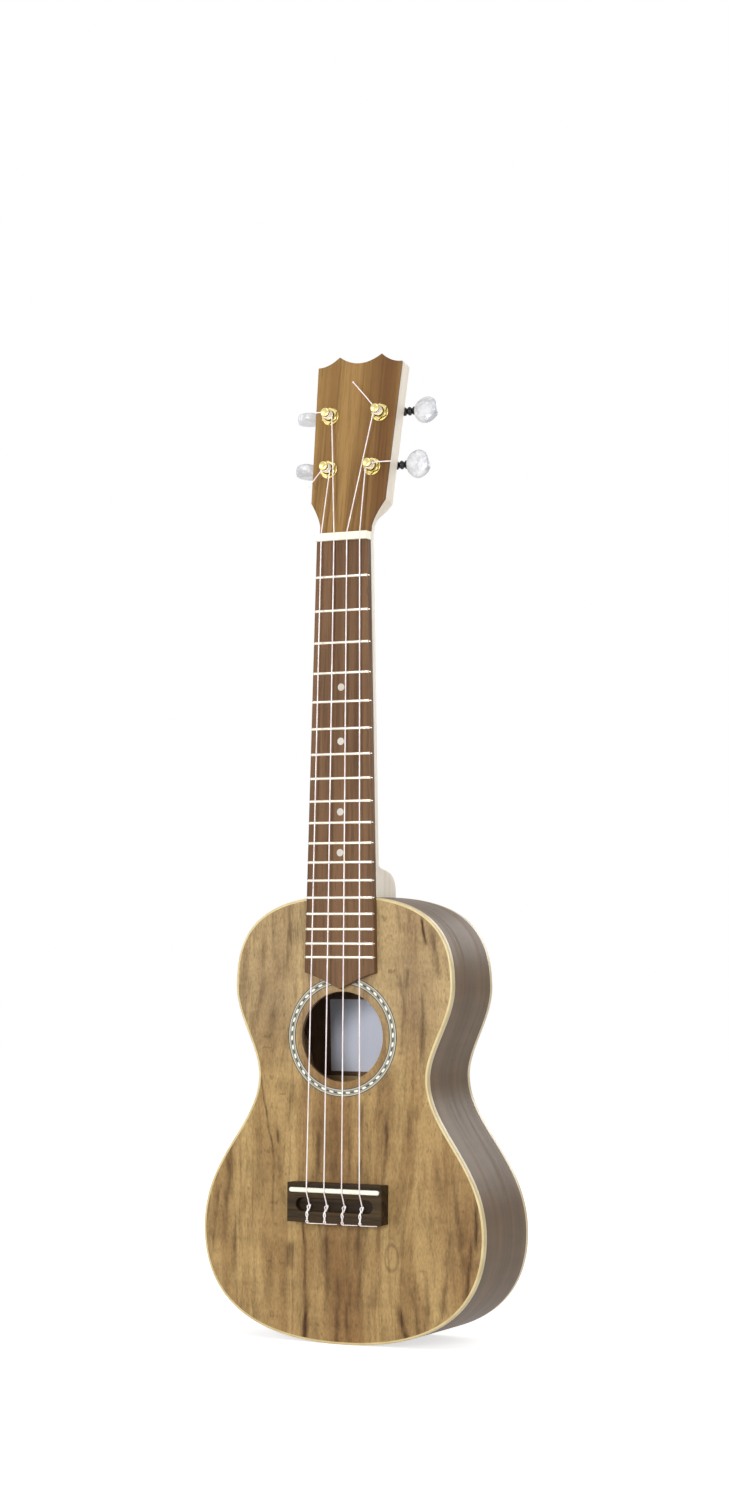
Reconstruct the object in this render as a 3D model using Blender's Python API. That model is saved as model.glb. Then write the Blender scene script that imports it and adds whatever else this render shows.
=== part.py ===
"""A small four-string guitar with geared tuning machines, upright and facing -Y.

The frame is metres with +Z up the neck, +X to the right seen from the front and +Y towards the back.
Sizes below are in that frame with z = 0 at the nut's front edge and y = 0 on the soundboard's face.
The empty `instrument` carries every piece and puts the world origin at the hanger point, where a wall
hook's two arms take the neck just under the head.
"""

import math

import bmesh
import bpy
import numpy as np

# Clearances
GLUE_GAP = 0.0003
RUNNING_GAP = 0.0003

# Where the hook's arms hold the instrument, seen from the nut
HANGER_HEIGHT = 0.0090
HANGER_DEPTH = 0.0060

# Strings
SCALE_LENGTH = 0.335
STRING_RADIUS = 0.00033
NUT_STRING_SPREAD = 0.0223
SADDLE_STRING_SPREAD = 0.0303
STRING_COUNT = 4
NUT_ACTION = 0.0004
WINDING_HEIGHT = 0.00265
FEWEST_TURNS = 1.7
LOOP_POINTS = 24
TAIL_DIRECTIONS = {
    "bass_upper": math.radians(173.0),
    "bass_lower": math.radians(238.0),
    "treble_upper": math.radians(131.0),
    "treble_lower": math.radians(7.0),
}

# Fingerboard, frets and nut
FRET_COUNT = 18
JOINT_FRET = 14
BOARD_NUT_WIDTH = 0.0296
BOARD_END_WIDTH = 0.0403
BOARD_THICKNESS = 0.0036
BOARD_OVERHANG = 0.0079
BOARD_TIP = 0.0085
BOARD_TIP_CURVE = 1.25
FRET_WIDTH = 0.0016
FRET_HEIGHT = 0.0010
FRET_INSET = 0.0005
TANG_THICKNESS = 0.0005
TANG_DEPTH = 0.0014
NUT_LENGTH = 0.0042
NUT_RISE = 0.0002

# Body outline: half widths at the three turning places and their drops below the upper end
BODY_CROWN = 0.0013
BODY_LENGTH = 0.2310
UPPER_BOUT_WIDTH = 0.1246
UPPER_BOUT_DROP = 0.0468
WAIST_WIDTH = 0.0971
WAIST_DROP = 0.0938
LOWER_BOUT_WIDTH = 0.1608
LOWER_BOUT_DROP = 0.1734
UPPER_END_FULLNESS = 0.88
UPPER_SHOULDER_FULLNESS = 0.49
UPPER_HIP_FULLNESS = 0.36
WAIST_UPPER_FULLNESS = 0.31
WAIST_LOWER_FULLNESS = 0.33
LOWER_SHOULDER_FULLNESS = 0.465
LOWER_HIP_FULLNESS = 0.57
TAIL_FULLNESS = 0.73
OUTLINE_STEPS = 6

# Body shell
HEEL_END_DEPTH = 0.0495
TAIL_END_DEPTH = 0.0615
TOP_THICKNESS = 0.0022
BACK_THICKNESS = 0.0022
SIDE_THICKNESS = 0.0018
BINDING_WIDTH = 0.0013
BINDING_HEIGHT = 0.0034
LINING_THICKNESS = 0.0045
LINING_HEIGHT = 0.0085
NECK_BLOCK_WIDTH = 0.050
NECK_BLOCK_LENGTH = 0.019
TAIL_BLOCK_WIDTH = 0.044
TAIL_BLOCK_LENGTH = 0.013
BRACE_WIDTH = 0.0060
BRACE_HEIGHT = 0.0080
UPPER_BRACE_DROP = 0.0385
LOWER_BRACE_DROP = 0.1060
BACK_BRACE_DROP = 0.0985

# Soundhole and rosette
SOUNDHOLE_DROP = 0.0730
SOUNDHOLE_RADIUS = 0.0232
ROSETTE_INNER_RADIUS = 0.0270
ROSETTE_WIDTH = 0.00415
ROSETTE_THICKNESS = 0.0009
CIRCLE_STEPS = 36

# Bridge and saddle
BRIDGE_WIDTH = 0.0540
BRIDGE_LENGTH = 0.0202
BRIDGE_HEIGHT = 0.0080
BRIDGE_ABOVE_SADDLE = 0.0037
SADDLE_WIDTH = 0.0514
SADDLE_SETBACK = 0.0014
SADDLE_THICKNESS = 0.0025
SADDLE_SHOW = 0.0010
SADDLE_SEAT_DEPTH = 0.0040
TIE_SLOT_WIDTH = 0.0440
TIE_SLOT_LENGTH = 0.0069
TIE_SLOT_BELOW_SADDLE = 0.0074
TIE_SLOT_DEPTH = 0.0045
TIE_HOLE_DROP = 0.0017
TIE_TAIL = 0.0010
STADIUM_STEPS = 6

# Neck and heel
NECK_NUT_DEPTH = 0.0130
NECK_HEEL_DEPTH = 0.0142
NECK_SIDE_WALL = 0.0014
HEEL_DEPTH = 0.0472
HEEL_HEIGHT = 0.0137
HEEL_FULLNESS = 3.0
HEEL_FILLET = 0.05
HEEL_CAP_WIDTH = 0.0215
HEEL_ROUNDNESS = 6.0
HEEL_STATIONS = (0.0, 0.004, 0.007, 0.0092, 0.0108, 0.012, 0.0129, 0.0136, 0.0142, 0.0149, 0.0160, 0.036)

# Head
HEAD_TILT = math.radians(10.25)
HEAD_FACE_DROP = 0.0005
HEAD_CORE_THICKNESS = 0.0083
VENEER_THICKNESS = 0.0012
HEAD_LENGTH = 0.0936
HEAD_TOP_WIDTH = 0.0490
HEAD_SHOULDER_WIDTH = 0.0428
HEAD_SHOULDER_AT = 0.0176
HEAD_FLARE_AT = 0.0070
HEAD_FLARE_CURVE = 1.45
HEAD_PEAK_SPREAD = 0.0246
HEAD_PEAK_RISE = 0.0051
HEAD_VALLEY_RISE = 0.0008
HEAD_SCALLOP_SAG = 0.0014
HEAD_STATIONS = (GLUE_GAP, 0.0040, 0.0070, 0.0090, 0.0115, 0.0145, 0.0176, 0.0300)
HEAD_SIDE_POINTS = 5
HEAD_MIDDLE_POINTS = 7

# Tuning machines: places up the head's face from its lower edge, and insets from the head's two widths
POST_UPPER_AT = 0.0654
POST_UPPER_INSET = 0.0100
POST_LOWER_AT = 0.0356
POST_LOWER_INSET = 0.0088
POST_RADIUS = 0.0025
POST_NECK_RADIUS = 0.0020
POST_WAIST_RADIUS = 0.0019
POST_WAIST_ABOVE_BUSHING = 0.0004
POST_CAP_HEIGHT = 0.0012
POST_DOME_RADIUS = 0.0016
POST_STEPS = 10
WASHER_RADIUS = 0.0047
WASHER_THICKNESS = 0.0005
BUSHING_FLATS = 0.0082
BUSHING_HEIGHT = 0.0018
BUSHING_BARREL_RADIUS = 0.0035
BUSHING_BARREL_LENGTH = 0.0055
PLATE_THICKNESS = 0.0010
PLATE_WIDTH = 0.0130
PLATE_OVERREACH = 0.0125
LUG_THICKNESS = 0.0010
LUG_WIDTH = 0.0052
WORM_END_PLAY = 0.0006
SCREW_HEAD_RADIUS = 0.0019
SCREW_HEAD_HEIGHT = 0.0009
SCREW_INSET = 0.0030

# Worm and gear: one start on the worm, so the ratio is one over the number of teeth
GEAR_TEETH = 12
GEAR_PITCH_RADIUS = 0.0034
WORM_PITCH_RADIUS = 0.0018
TOOTH_ADDENDUM = 0.0005
TOOTH_DEDENDUM = 0.0007
TOOTH_PLAY = 0.00023
PRESSURE_ANGLE = math.radians(20.0)
GEAR_THICKNESS = 0.0026
WORM_LENGTH = 0.0066
WORM_STEPS = 9
WORM_LEVELS_PER_TURN = 5
SHAFT_RADIUS = 0.0012
STEM_START = 0.0066
STEM_RADIUS = 0.00235
STEM_WAIST_RADIUS = 0.00155
STEM_PROFILE = ((0.0, 1.0), (0.12, 1.0), (0.32, 0.0), (0.50, 1.0), (0.68, 0.0), (0.88, 1.0), (1.0, 1.0))
GEAR_SCREW_RADIUS = 0.0023
GEAR_SCREW_HEIGHT = 0.0011

# Tuning buttons: distance of the near edge from the post's axis, and how far each is turned at rest
BUTTON_START = 0.0137
BUTTON_LENGTH = 0.0124
BUTTON_HEIGHT = 0.0150
BUTTON_THICKNESS = 0.0061
BUTTON_SHAFT_REACH = 0.0070
BUTTON_STEPS = 12
BUTTON_SQUARENESS = 0.75
BUTTON_EDGE_FULLNESS = 0.18
BUTTON_END_TURN = math.radians(22.0)
BUTTON_TIP_TURN = math.radians(10.0)
BUTTON_SECTIONS = 8
BUTTON_TURNS = {
    "bass_upper": math.radians(96.0),
    "bass_lower": math.radians(86.0),
    "treble_upper": math.radians(-8.0),
    "treble_lower": math.radians(8.0),
}

# Worked out from the driving sizes
INNER_FACE = TOP_THICKNESS + GLUE_GAP
BACK_INSIDE = BACK_THICKNESS + GLUE_GAP
PLATE_INSET = BINDING_WIDTH + GLUE_GAP
SIDE_INNER = SIDE_THICKNESS + GLUE_GAP
LINING_OUTER = max(SIDE_THICKNESS, BINDING_WIDTH) + GLUE_GAP
LINING_INNER = LINING_OUTER + LINING_THICKNESS + GLUE_GAP
SADDLE_Z = -SCALE_LENGTH - SADDLE_SETBACK
BRIDGE_TOP_Y = -GLUE_GAP - BRIDGE_HEIGHT
SADDLE_TOP_Y = BRIDGE_TOP_Y - SADDLE_SHOW
BOARD_TOP_Y = -GLUE_GAP - BOARD_THICKNESS
FRET_TOP_Y = BOARD_TOP_Y - GLUE_GAP - FRET_HEIGHT
NUT_STRING_Y = FRET_TOP_Y - NUT_ACTION - STRING_RADIUS
SADDLE_STRING_Y = SADDLE_TOP_Y - GLUE_GAP - STRING_RADIUS
HEAD_BACK = VENEER_THICKNESS + GLUE_GAP + HEAD_CORE_THICKNESS
PLATE_BACK = HEAD_BACK + GLUE_GAP + PLATE_THICKNESS
WORM_OUTER_RADIUS = WORM_PITCH_RADIUS + TOOTH_ADDENDUM
WORM_DEPTH = PLATE_BACK + WORM_OUTER_RADIUS + 2 * RUNNING_GAP
CENTRE_DISTANCE = GEAR_PITCH_RADIUS + WORM_PITCH_RADIUS
WORM_PITCH = 2 * math.pi * GEAR_PITCH_RADIUS / GEAR_TEETH
WORM_ROOT_RADIUS = WORM_PITCH_RADIUS - TOOTH_DEDENDUM
TOOTH_THICKNESS = WORM_PITCH / 2 - TOOTH_PLAY
LUG_AT = WORM_LENGTH / 2 + WORM_END_PLAY + LUG_THICKNESS / 2
STRING_HOLE_RADIUS = STRING_RADIUS + GLUE_GAP
POST_HOLE_RADIUS = STRING_RADIUS + GLUE_GAP / 2
POST_UPPER_SPREAD = HEAD_TOP_WIDTH - 2 * POST_UPPER_INSET
POST_LOWER_SPREAD = HEAD_SHOULDER_WIDTH - 2 * POST_LOWER_INSET
BUSHING_TOP = GLUE_GAP + WASHER_THICKNESS + BUSHING_HEIGHT
POST_WAIST_START = BUSHING_TOP + POST_WAIST_ABOVE_BUSHING
WINDING_RADIUS = POST_WAIST_RADIUS + RUNNING_GAP + STRING_RADIUS
WINDING_START = POST_WAIST_START + RUNNING_GAP + STRING_RADIUS
WINDING_END = WINDING_START + WINDING_HEIGHT
POST_WAIST_END = WINDING_END + STRING_RADIUS + RUNNING_GAP
POST_TOP = POST_WAIST_END + POST_CAP_HEIGHT


def fret_z(number):
    """Height of a fret's crown line; fret 0 is the nut's front edge."""
    return -SCALE_LENGTH * (1.0 - 2.0 ** (-number / 12.0))


BODY_TOP_Z = fret_z(JOINT_FRET) + BODY_CROWN
BODY_TAIL_Z = BODY_TOP_Z - BODY_LENGTH
SOUNDHOLE_Z = BODY_TOP_Z - SOUNDHOLE_DROP
BOARD_END_Z = fret_z(FRET_COUNT) - BOARD_OVERHANG


def material(name, colour, roughness, metallic=0.0):
    """A Principled material of one colour."""
    made = bpy.data.materials.new(name)
    made.use_nodes = True
    shader = made.node_tree.nodes["Principled BSDF"]
    shader.inputs["Base Color"].default_value = (*colour, 1.0)
    shader.inputs["Roughness"].default_value = roughness
    shader.inputs["Metallic"].default_value = metallic
    return made


def finishes():
    """The materials, by the name of the finish."""
    return {
        "top_wood": material("walnut_top", (0.45, 0.30, 0.14), 0.45),
        "side_wood": material("walnut_side", (0.19, 0.12, 0.09), 0.45),
        "pale_wood": material("pale_neck", (0.75, 0.63, 0.45), 0.50),
        "inner_wood": material("inner_spruce", (0.62, 0.45, 0.25), 0.70),
        "head_wood": material("walnut_head", (0.33, 0.21, 0.10), 0.45),
        "board_wood": material("walnut_board", (0.22, 0.13, 0.07), 0.50),
        "bridge_wood": material("dark_bridge", (0.06, 0.03, 0.02), 0.45),
        "cream": material("cream_binding", (0.84, 0.69, 0.38), 0.35),
        "inlay": material("rosette_inlay", (0.40, 0.38, 0.30), 0.40),
        "ivory": material("ivory_plastic", (0.93, 0.91, 0.75), 0.30),
        "fret_metal": material("fret_metal", (0.80, 0.80, 0.78), 0.25, 1.0),
        "gold": material("gold_plate", (0.85, 0.62, 0.22), 0.25, 1.0),
        "black": material("black_shaft", (0.02, 0.02, 0.02), 0.35, 0.3),
        "pearl": material("pearl_button", (0.80, 0.80, 0.80), 0.20),
        "nylon": material("clear_string", (0.85, 0.75, 0.72), 0.30),
    }


def add_object(name, data, parent, finish):
    """Links an object made from mesh or curve data, under its parent, with its finish."""
    placed = bpy.data.objects.new(name, data)
    bpy.context.scene.collection.objects.link(placed)
    placed.parent = parent
    if finish is not None:
        data.materials.append(finish)
    return placed


def fill_end(mesh, row, in_strips):
    """Closes the end of a loft: one flat face, or strips from the row's first half to its second."""
    if not in_strips:
        mesh.faces.new(row)
        return
    half = len(row) // 2
    back = row[half:][::-1]
    for i in range(half - 1):
        mesh.faces.new((row[i], row[i + 1], back[i + 1], back[i]))


def loft(
    name, loops, parent, finish=None, ring=False, smooth=False, in_strips=False, location=(0.0, 0.0, 0.0)
):
    """Skins a run of loops with the same number of points each.

    With ring set the last loop joins the first, which makes a tube or a frame. Otherwise the first and
    the last loop are filled, which makes a solid bar. A loop of a front row and a back row, whose ends
    aren't flat, is filled in strips.
    """
    loops = [np.asarray(loop, float) for loop in loops]
    count = len(loops[0])
    mesh = bmesh.new()
    rows = [[mesh.verts.new(point) for point in loop] for loop in loops]
    pairs = list(zip(rows, rows[1:] + rows[:1])) if ring else list(zip(rows, rows[1:]))
    for first, second in pairs:
        for i in range(count):
            j = (i + 1) % count
            mesh.faces.new((first[i], first[j], second[j], second[i]))
    if not ring:
        fill_end(mesh, rows[0], in_strips)
        fill_end(mesh, rows[-1], in_strips)
    bmesh.ops.recalc_face_normals(mesh, faces=mesh.faces)
    if mesh.calc_volume(signed=True) < 0.0:
        bmesh.ops.reverse_faces(mesh, faces=mesh.faces)
    data = bpy.data.meshes.new(name)
    mesh.to_mesh(data)
    mesh.free()
    if smooth:
        data.shade_smooth()
        data.set_sharp_from_angle(angle=math.radians(40.0))
    placed = add_object(name, data, parent, finish)
    placed.location = location
    return placed


def on_level(outline, y):
    """Lifts an outline of (x, z) rows to 3-D; y is one number or a function of z."""
    outline = np.asarray(outline, float)
    depth = y(outline[:, 1]) if callable(y) else np.full(len(outline), y)
    return np.column_stack([outline[:, 0], depth, outline[:, 1]])


def plate(name, outline, front, back, parent, finish=None):
    """A flat piece: an outline in (x, z) between two levels of y."""
    return loft(name, [on_level(outline, front), on_level(outline, back)], parent, finish)


def frame(name, outer, inner, front, back, parent, finish=None, smooth=False):
    """A closed band between two outlines and two levels of y."""
    loops = [on_level(outer, front), on_level(outer, back), on_level(inner, back), on_level(inner, front)]
    return loft(name, loops, parent, finish, ring=True, smooth=smooth)


def turned(name, profile, steps, parent, finish=None, centre=(0.0, 0.0), axis="z", location=(0.0, 0.0, 0.0)):
    """A turned piece from (radius, distance along the axis) rows, round the local Z or X axis."""
    angles = 2 * math.pi * np.arange(steps) / steps
    loops = []
    for radius, along in profile:
        across = radius * np.cos(angles) + centre[0]
        up = radius * np.sin(angles) + centre[1]
        level = np.full(steps, along)
        columns = [across, up, level] if axis == "z" else [level, across, up]
        loops.append(np.column_stack(columns))
    return loft(name, loops, parent, finish, smooth=True, location=location)


def box(name, low, high, parent):
    """An upright box between two corners."""
    (x0, y0, z0), (x1, y1, z1) = low, high
    lower = [(x0, y0, z0), (x1, y0, z0), (x1, y1, z0), (x0, y1, z0)]
    upper = [(x, y, z1) for x, y, _ in lower]
    return loft(name, [lower, upper], parent)


def merged(name, pieces, parent):
    """One helper object that holds the separate shells of several, which share its parent."""
    mesh = bmesh.new()
    for piece in pieces:
        mesh.from_mesh(piece.data)
        bpy.data.objects.remove(piece)
    data = bpy.data.meshes.new(name)
    mesh.to_mesh(data)
    mesh.free()
    return add_object(name, data, parent, None)


def combine(target, tool, operation):
    """A Boolean of the target with a helper, which is kept out of the render."""
    tool.hide_render = True
    tool.display_type = "WIRE"
    change = target.modifiers.new(tool.name, "BOOLEAN")
    change.operation = operation
    change.solver = "EXACT"
    change.object = tool


def bezier(start, start_handle, end_handle, end, steps):
    """Points and tangents along one cubic curve, without its last point."""
    t = (np.arange(steps) / steps)[:, None]
    start, start_handle, end_handle, end = (np.array(p, float) for p in (start, start_handle, end_handle, end))
    points = (1 - t) ** 3 * start + 3 * (1 - t) ** 2 * t * start_handle
    points = points + 3 * (1 - t) * t**2 * end_handle + t**3 * end
    first, middle, last = start_handle - start, end_handle - start_handle, end - end_handle
    tangents = (1 - t) ** 2 * first + 2 * (1 - t) * t * middle + t**2 * last
    return points, tangents


def half_outline(inset=0.0):
    """The treble half of the body's outline as (x, z) rows from the upper end to the tail.

    Four cubic curves run between the upper end, the upper bout, the waist, the lower bout and the tail,
    level at the two ends and upright at the three turning places. An inset moves each point inwards
    along the outline's normal.
    """
    top = (0.0, BODY_TOP_Z)
    upper = (UPPER_BOUT_WIDTH / 2, BODY_TOP_Z - UPPER_BOUT_DROP)
    waist = (WAIST_WIDTH / 2, BODY_TOP_Z - WAIST_DROP)
    lower = (LOWER_BOUT_WIDTH / 2, BODY_TOP_Z - LOWER_BOUT_DROP)
    tail = (0.0, BODY_TAIL_Z)
    to_waist = upper[1] - waist[1]
    to_lower = waist[1] - lower[1]
    to_tail = lower[1] - tail[1]
    curves = [
        (
            top,
            (UPPER_END_FULLNESS * upper[0], top[1]),
            (upper[0], upper[1] + UPPER_SHOULDER_FULLNESS * UPPER_BOUT_DROP),
            upper,
        ),
        (
            upper,
            (upper[0], upper[1] - UPPER_HIP_FULLNESS * to_waist),
            (waist[0], waist[1] + WAIST_UPPER_FULLNESS * to_waist),
            waist,
        ),
        (
            waist,
            (waist[0], waist[1] - WAIST_LOWER_FULLNESS * to_lower),
            (lower[0], lower[1] + LOWER_SHOULDER_FULLNESS * to_lower),
            lower,
        ),
        (
            lower,
            (lower[0], lower[1] - LOWER_HIP_FULLNESS * to_tail),
            (TAIL_FULLNESS * lower[0], tail[1]),
            tail,
        ),
    ]
    runs = [bezier(*curve, OUTLINE_STEPS) for curve in curves]
    points = np.vstack([points for points, _ in runs] + [tail])
    tangents = np.vstack([tangents for _, tangents in runs] + [(-1.0, 0.0)])
    tangents = tangents / np.linalg.norm(tangents, axis=1)[:, None]
    inward = np.column_stack([tangents[:, 1], -tangents[:, 0]])
    return points + inset * inward


def outline(inset=0.0):
    """The whole body outline as a closed loop of (x, z) rows."""
    half = half_outline(inset)
    other = half[-2:0:-1] * (-1.0, 1.0)
    return np.vstack([half, other])


def half_width(z, inset):
    """Half the body's width at a height, for an inset outline."""
    half = half_outline(inset)
    return np.interp(-np.asarray(z, float), -half[:, 1], half[:, 0])


def end_height(x, inset, at_tail):
    """Height of the inset outline's upper end, or of its tail, at a distance from the centre line."""
    half = half_outline(inset)
    run = half[-OUTLINE_STEPS - 1 :][::-1] if at_tail else half[: OUTLINE_STEPS + 1]
    return np.interp(np.abs(x), run[:, 0], run[:, 1])


def back_face(z):
    """Depth of the back's outer face, which tapers from the heel to the tail."""
    share = (BODY_TOP_Z - np.asarray(z, float)) / BODY_LENGTH
    return HEEL_END_DEPTH + (TAIL_END_DEPTH - HEEL_END_DEPTH) * share


def back_level(inside):
    """A function of z for a level that lies inside the back's outer face."""
    return lambda z: back_face(z) - inside


def circle(radius, centre_z, steps=CIRCLE_STEPS):
    """A circle on the centre line as (x, z) rows."""
    angles = 2 * math.pi * np.arange(steps) / steps
    return np.column_stack([radius * np.cos(angles), centre_z + radius * np.sin(angles)])


def stadium(width, length, centre_z):
    """A slot's outline with round ends, its long side across the instrument."""
    radius = length / 2
    straight = width / 2 - radius
    angles = np.linspace(-math.pi / 2, math.pi / 2, STADIUM_STEPS)
    right = np.column_stack([straight + radius * np.cos(angles), centre_z + radius * np.sin(angles)])
    left = np.column_stack([-right[:, 0], 2 * centre_z - right[:, 1]])
    return np.vstack([right, left])


def build_plates(parent, look):
    """Soundboard with its soundhole and rosette channel, rosette, and back."""
    soundboard = plate("soundboard", outline(PLATE_INSET), 0.0, TOP_THICKNESS, parent, look["top_wood"])
    above = -TOP_THICKNESS
    hole = plate("soundhole_cutter", circle(SOUNDHOLE_RADIUS, SOUNDHOLE_Z), above, 2 * TOP_THICKNESS, parent)
    combine(soundboard, hole, "DIFFERENCE")
    outer = ROSETTE_INNER_RADIUS + ROSETTE_WIDTH
    channel = frame(
        "rosette_cutter",
        circle(outer + GLUE_GAP, SOUNDHOLE_Z),
        circle(ROSETTE_INNER_RADIUS - GLUE_GAP, SOUNDHOLE_Z),
        above,
        ROSETTE_THICKNESS + GLUE_GAP,
        parent,
    )
    combine(soundboard, channel, "DIFFERENCE")
    frame(
        "rosette",
        circle(outer, SOUNDHOLE_Z),
        circle(ROSETTE_INNER_RADIUS, SOUNDHOLE_Z),
        0.0,
        ROSETTE_THICKNESS,
        parent,
        look["inlay"],
    )
    plate("back", outline(PLATE_INSET), back_level(BACK_THICKNESS), back_level(0.0), parent, look["side_wood"])


def build_side(name, sign, parent, look):
    """One bent side, from the centre seam at the neck to the one at the tail."""
    outer = half_outline()
    inner = half_outline(SIDE_THICKNESS)
    seam = GLUE_GAP / 2
    front = BINDING_HEIGHT + GLUE_GAP
    rows = []
    for (xo, zo), (xi, zi) in zip(outer, inner):
        xo, xi = sign * max(xo, seam), sign * max(xi, seam)
        back_outer = back_face(zo) - front
        back_inner = back_face(zi) - front
        rows.append([(xo, front, zo), (xo, back_outer, zo), (xi, back_inner, zi), (xi, front, zi)])
    loft(name, rows, parent, look["side_wood"], smooth=True)


def build_shell(parent, look):
    """Sides, bindings let into their edges, and the linings that carry the plates."""
    build_side("side_bass", -1.0, parent, look)
    build_side("side_treble", 1.0, parent, look)
    edge, inner = outline(), outline(BINDING_WIDTH)
    frame("binding_top", edge, inner, 0.0, BINDING_HEIGHT, parent, look["cream"], smooth=True)
    frame(
        "binding_back",
        edge,
        inner,
        back_level(BINDING_HEIGHT),
        back_level(0.0),
        parent,
        look["cream"],
        smooth=True,
    )
    outer, inner = outline(LINING_OUTER), outline(LINING_OUTER + LINING_THICKNESS)
    lining_end = INNER_FACE + LINING_HEIGHT
    frame("lining_top", outer, inner, INNER_FACE, lining_end, parent, look["inner_wood"])
    frame(
        "lining_back",
        outer,
        inner,
        back_level(BACK_INSIDE + LINING_HEIGHT),
        back_level(BACK_INSIDE),
        parent,
        look["inner_wood"],
    )


def build_block(name, width, length, at_tail, parent, look):
    """An end block, notched at both plates so that the linings run on past it."""
    across = np.linspace(-width / 2, width / 2, 9)
    inward = 1.0 if at_tail else -1.0
    end = BODY_TAIL_Z if at_tail else BODY_TOP_Z
    flat = end + inward * (SIDE_INNER + length)

    def section(inset):
        wall = np.column_stack([across, end_height(across, inset, at_tail)])
        return np.vstack([wall, [(width / 2, flat), (-width / 2, flat)]])

    notched, full = section(LINING_INNER), section(SIDE_INNER)
    notch = LINING_HEIGHT + GLUE_GAP
    loops = [
        on_level(notched, INNER_FACE),
        on_level(notched, INNER_FACE + notch),
        on_level(full, INNER_FACE + notch),
        on_level(full, back_level(BACK_INSIDE + notch)),
        on_level(notched, back_level(BACK_INSIDE + notch)),
        on_level(notched, back_level(BACK_INSIDE)),
    ]
    loft(name, loops, parent, look["inner_wood"])


def build_brace(name, drop, on_back, parent, look):
    """A bar glued across the soundboard or the back, between the linings."""
    low, high = BODY_TOP_Z - drop - BRACE_WIDTH / 2, BODY_TOP_Z - drop + BRACE_WIDTH / 2
    reach = float(min(half_width(low, LINING_INNER), half_width(high, LINING_INNER)))
    section = [(-reach, low), (reach, low), (reach, high), (-reach, high)]
    if on_back:
        front, back = back_level(BACK_INSIDE + BRACE_HEIGHT), back_level(BACK_INSIDE)
    else:
        front, back = INNER_FACE, INNER_FACE + BRACE_HEIGHT
    plate(name, section, front, back, parent, look["inner_wood"])


def build_body(parent, look):
    """The hollow body."""
    build_plates(parent, look)
    build_shell(parent, look)
    build_block("neck_block", NECK_BLOCK_WIDTH, NECK_BLOCK_LENGTH, False, parent, look)
    build_block("tail_block", TAIL_BLOCK_WIDTH, TAIL_BLOCK_LENGTH, True, parent, look)
    build_brace("top_brace_upper", UPPER_BRACE_DROP, False, parent, look)
    build_brace("top_brace_lower", LOWER_BRACE_DROP, False, parent, look)
    build_brace("back_brace", BACK_BRACE_DROP, True, parent, look)


def board_half_width(z):
    """Half the fingerboard's width at a height."""
    share = np.asarray(z, float) / BOARD_END_Z
    return (BOARD_NUT_WIDTH + (BOARD_END_WIDTH - BOARD_NUT_WIDTH) * share) / 2


def string_x(index, spread):
    """Distance of a string from the centre line; string 0 is the one at -X."""
    return spread * (index / (STRING_COUNT - 1) - 0.5)


def build_fingerboard(parent, look):
    """Fingerboard with a pointed end and a slot under each fret, and the frets with their tangs."""
    side = np.array([(board_half_width(z), z) for z in (-GLUE_GAP, BOARD_END_Z)])
    share = np.linspace(0.0, 1.0, 7)[1:]
    end_x = side[1, 0] * (1.0 - share)
    end_z = BOARD_END_Z - BOARD_TIP * share**BOARD_TIP_CURVE
    right = np.vstack([side, np.column_stack([end_x, end_z])])
    left = right[-2::-1] * (-1.0, 1.0)
    board = plate(
        "fretboard", np.vstack([right, left]), BOARD_TOP_Y, -GLUE_GAP, parent, look["board_wood"]
    )
    slot = TANG_THICKNESS / 2 + GLUE_GAP
    slots = []
    for number in range(1, FRET_COUNT + 1):
        z = fret_z(number)
        reach = float(board_half_width(z)) - FRET_INSET
        above = BOARD_TOP_Y - FRET_HEIGHT
        below = BOARD_TOP_Y + TANG_DEPTH + GLUE_GAP
        low = (-2 * reach, above, z - slot)
        slots.append(box(f"slot_{number:02d}", low, (2 * reach, below, z + slot), parent))
        build_fret(f"fret_{number:02d}", z, reach, parent, look)
    combine(board, merged("fret_slot_cutter", slots, parent), "DIFFERENCE")


def build_fret(name, z, reach, parent, look):
    """One fret: a round crown over a thin tang."""
    angles = np.linspace(0.0, math.pi, 6)
    seat = BOARD_TOP_Y - GLUE_GAP
    crown = [(seat - FRET_HEIGHT * math.sin(a), z + FRET_WIDTH / 2 * math.cos(a)) for a in angles]
    half_tang = TANG_THICKNESS / 2
    foot = BOARD_TOP_Y + TANG_DEPTH
    tang = [(seat, z - half_tang), (foot, z - half_tang), (foot, z + half_tang), (seat, z + half_tang)]
    section = crown + tang
    loops = [[(x, y, height) for y, height in section] for x in (-reach, reach)]
    loft(name, loops, parent, look["fret_metal"])


def build_nut(parent, look):
    """The nut, with a notch for each string."""
    reach = float(board_half_width(0.0))
    floor = NUT_STRING_Y + STRING_RADIUS + GLUE_GAP
    crest = NUT_STRING_Y - NUT_RISE
    notch = STRING_RADIUS + GLUE_GAP
    top = [(-reach, crest)]
    for index in range(STRING_COUNT):
        x = string_x(index, NUT_STRING_SPREAD)
        top += [(x - notch, crest), (x - notch, floor), (x + notch, floor), (x + notch, crest)]
    top.append((reach, crest))
    section = [(-reach, -GLUE_GAP), *top, (reach, -GLUE_GAP)]
    loops = [[(x, y, z) for x, y in section] for z in (0.0, NUT_LENGTH)]
    loft("nut", loops, parent, look["ivory"])


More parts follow.
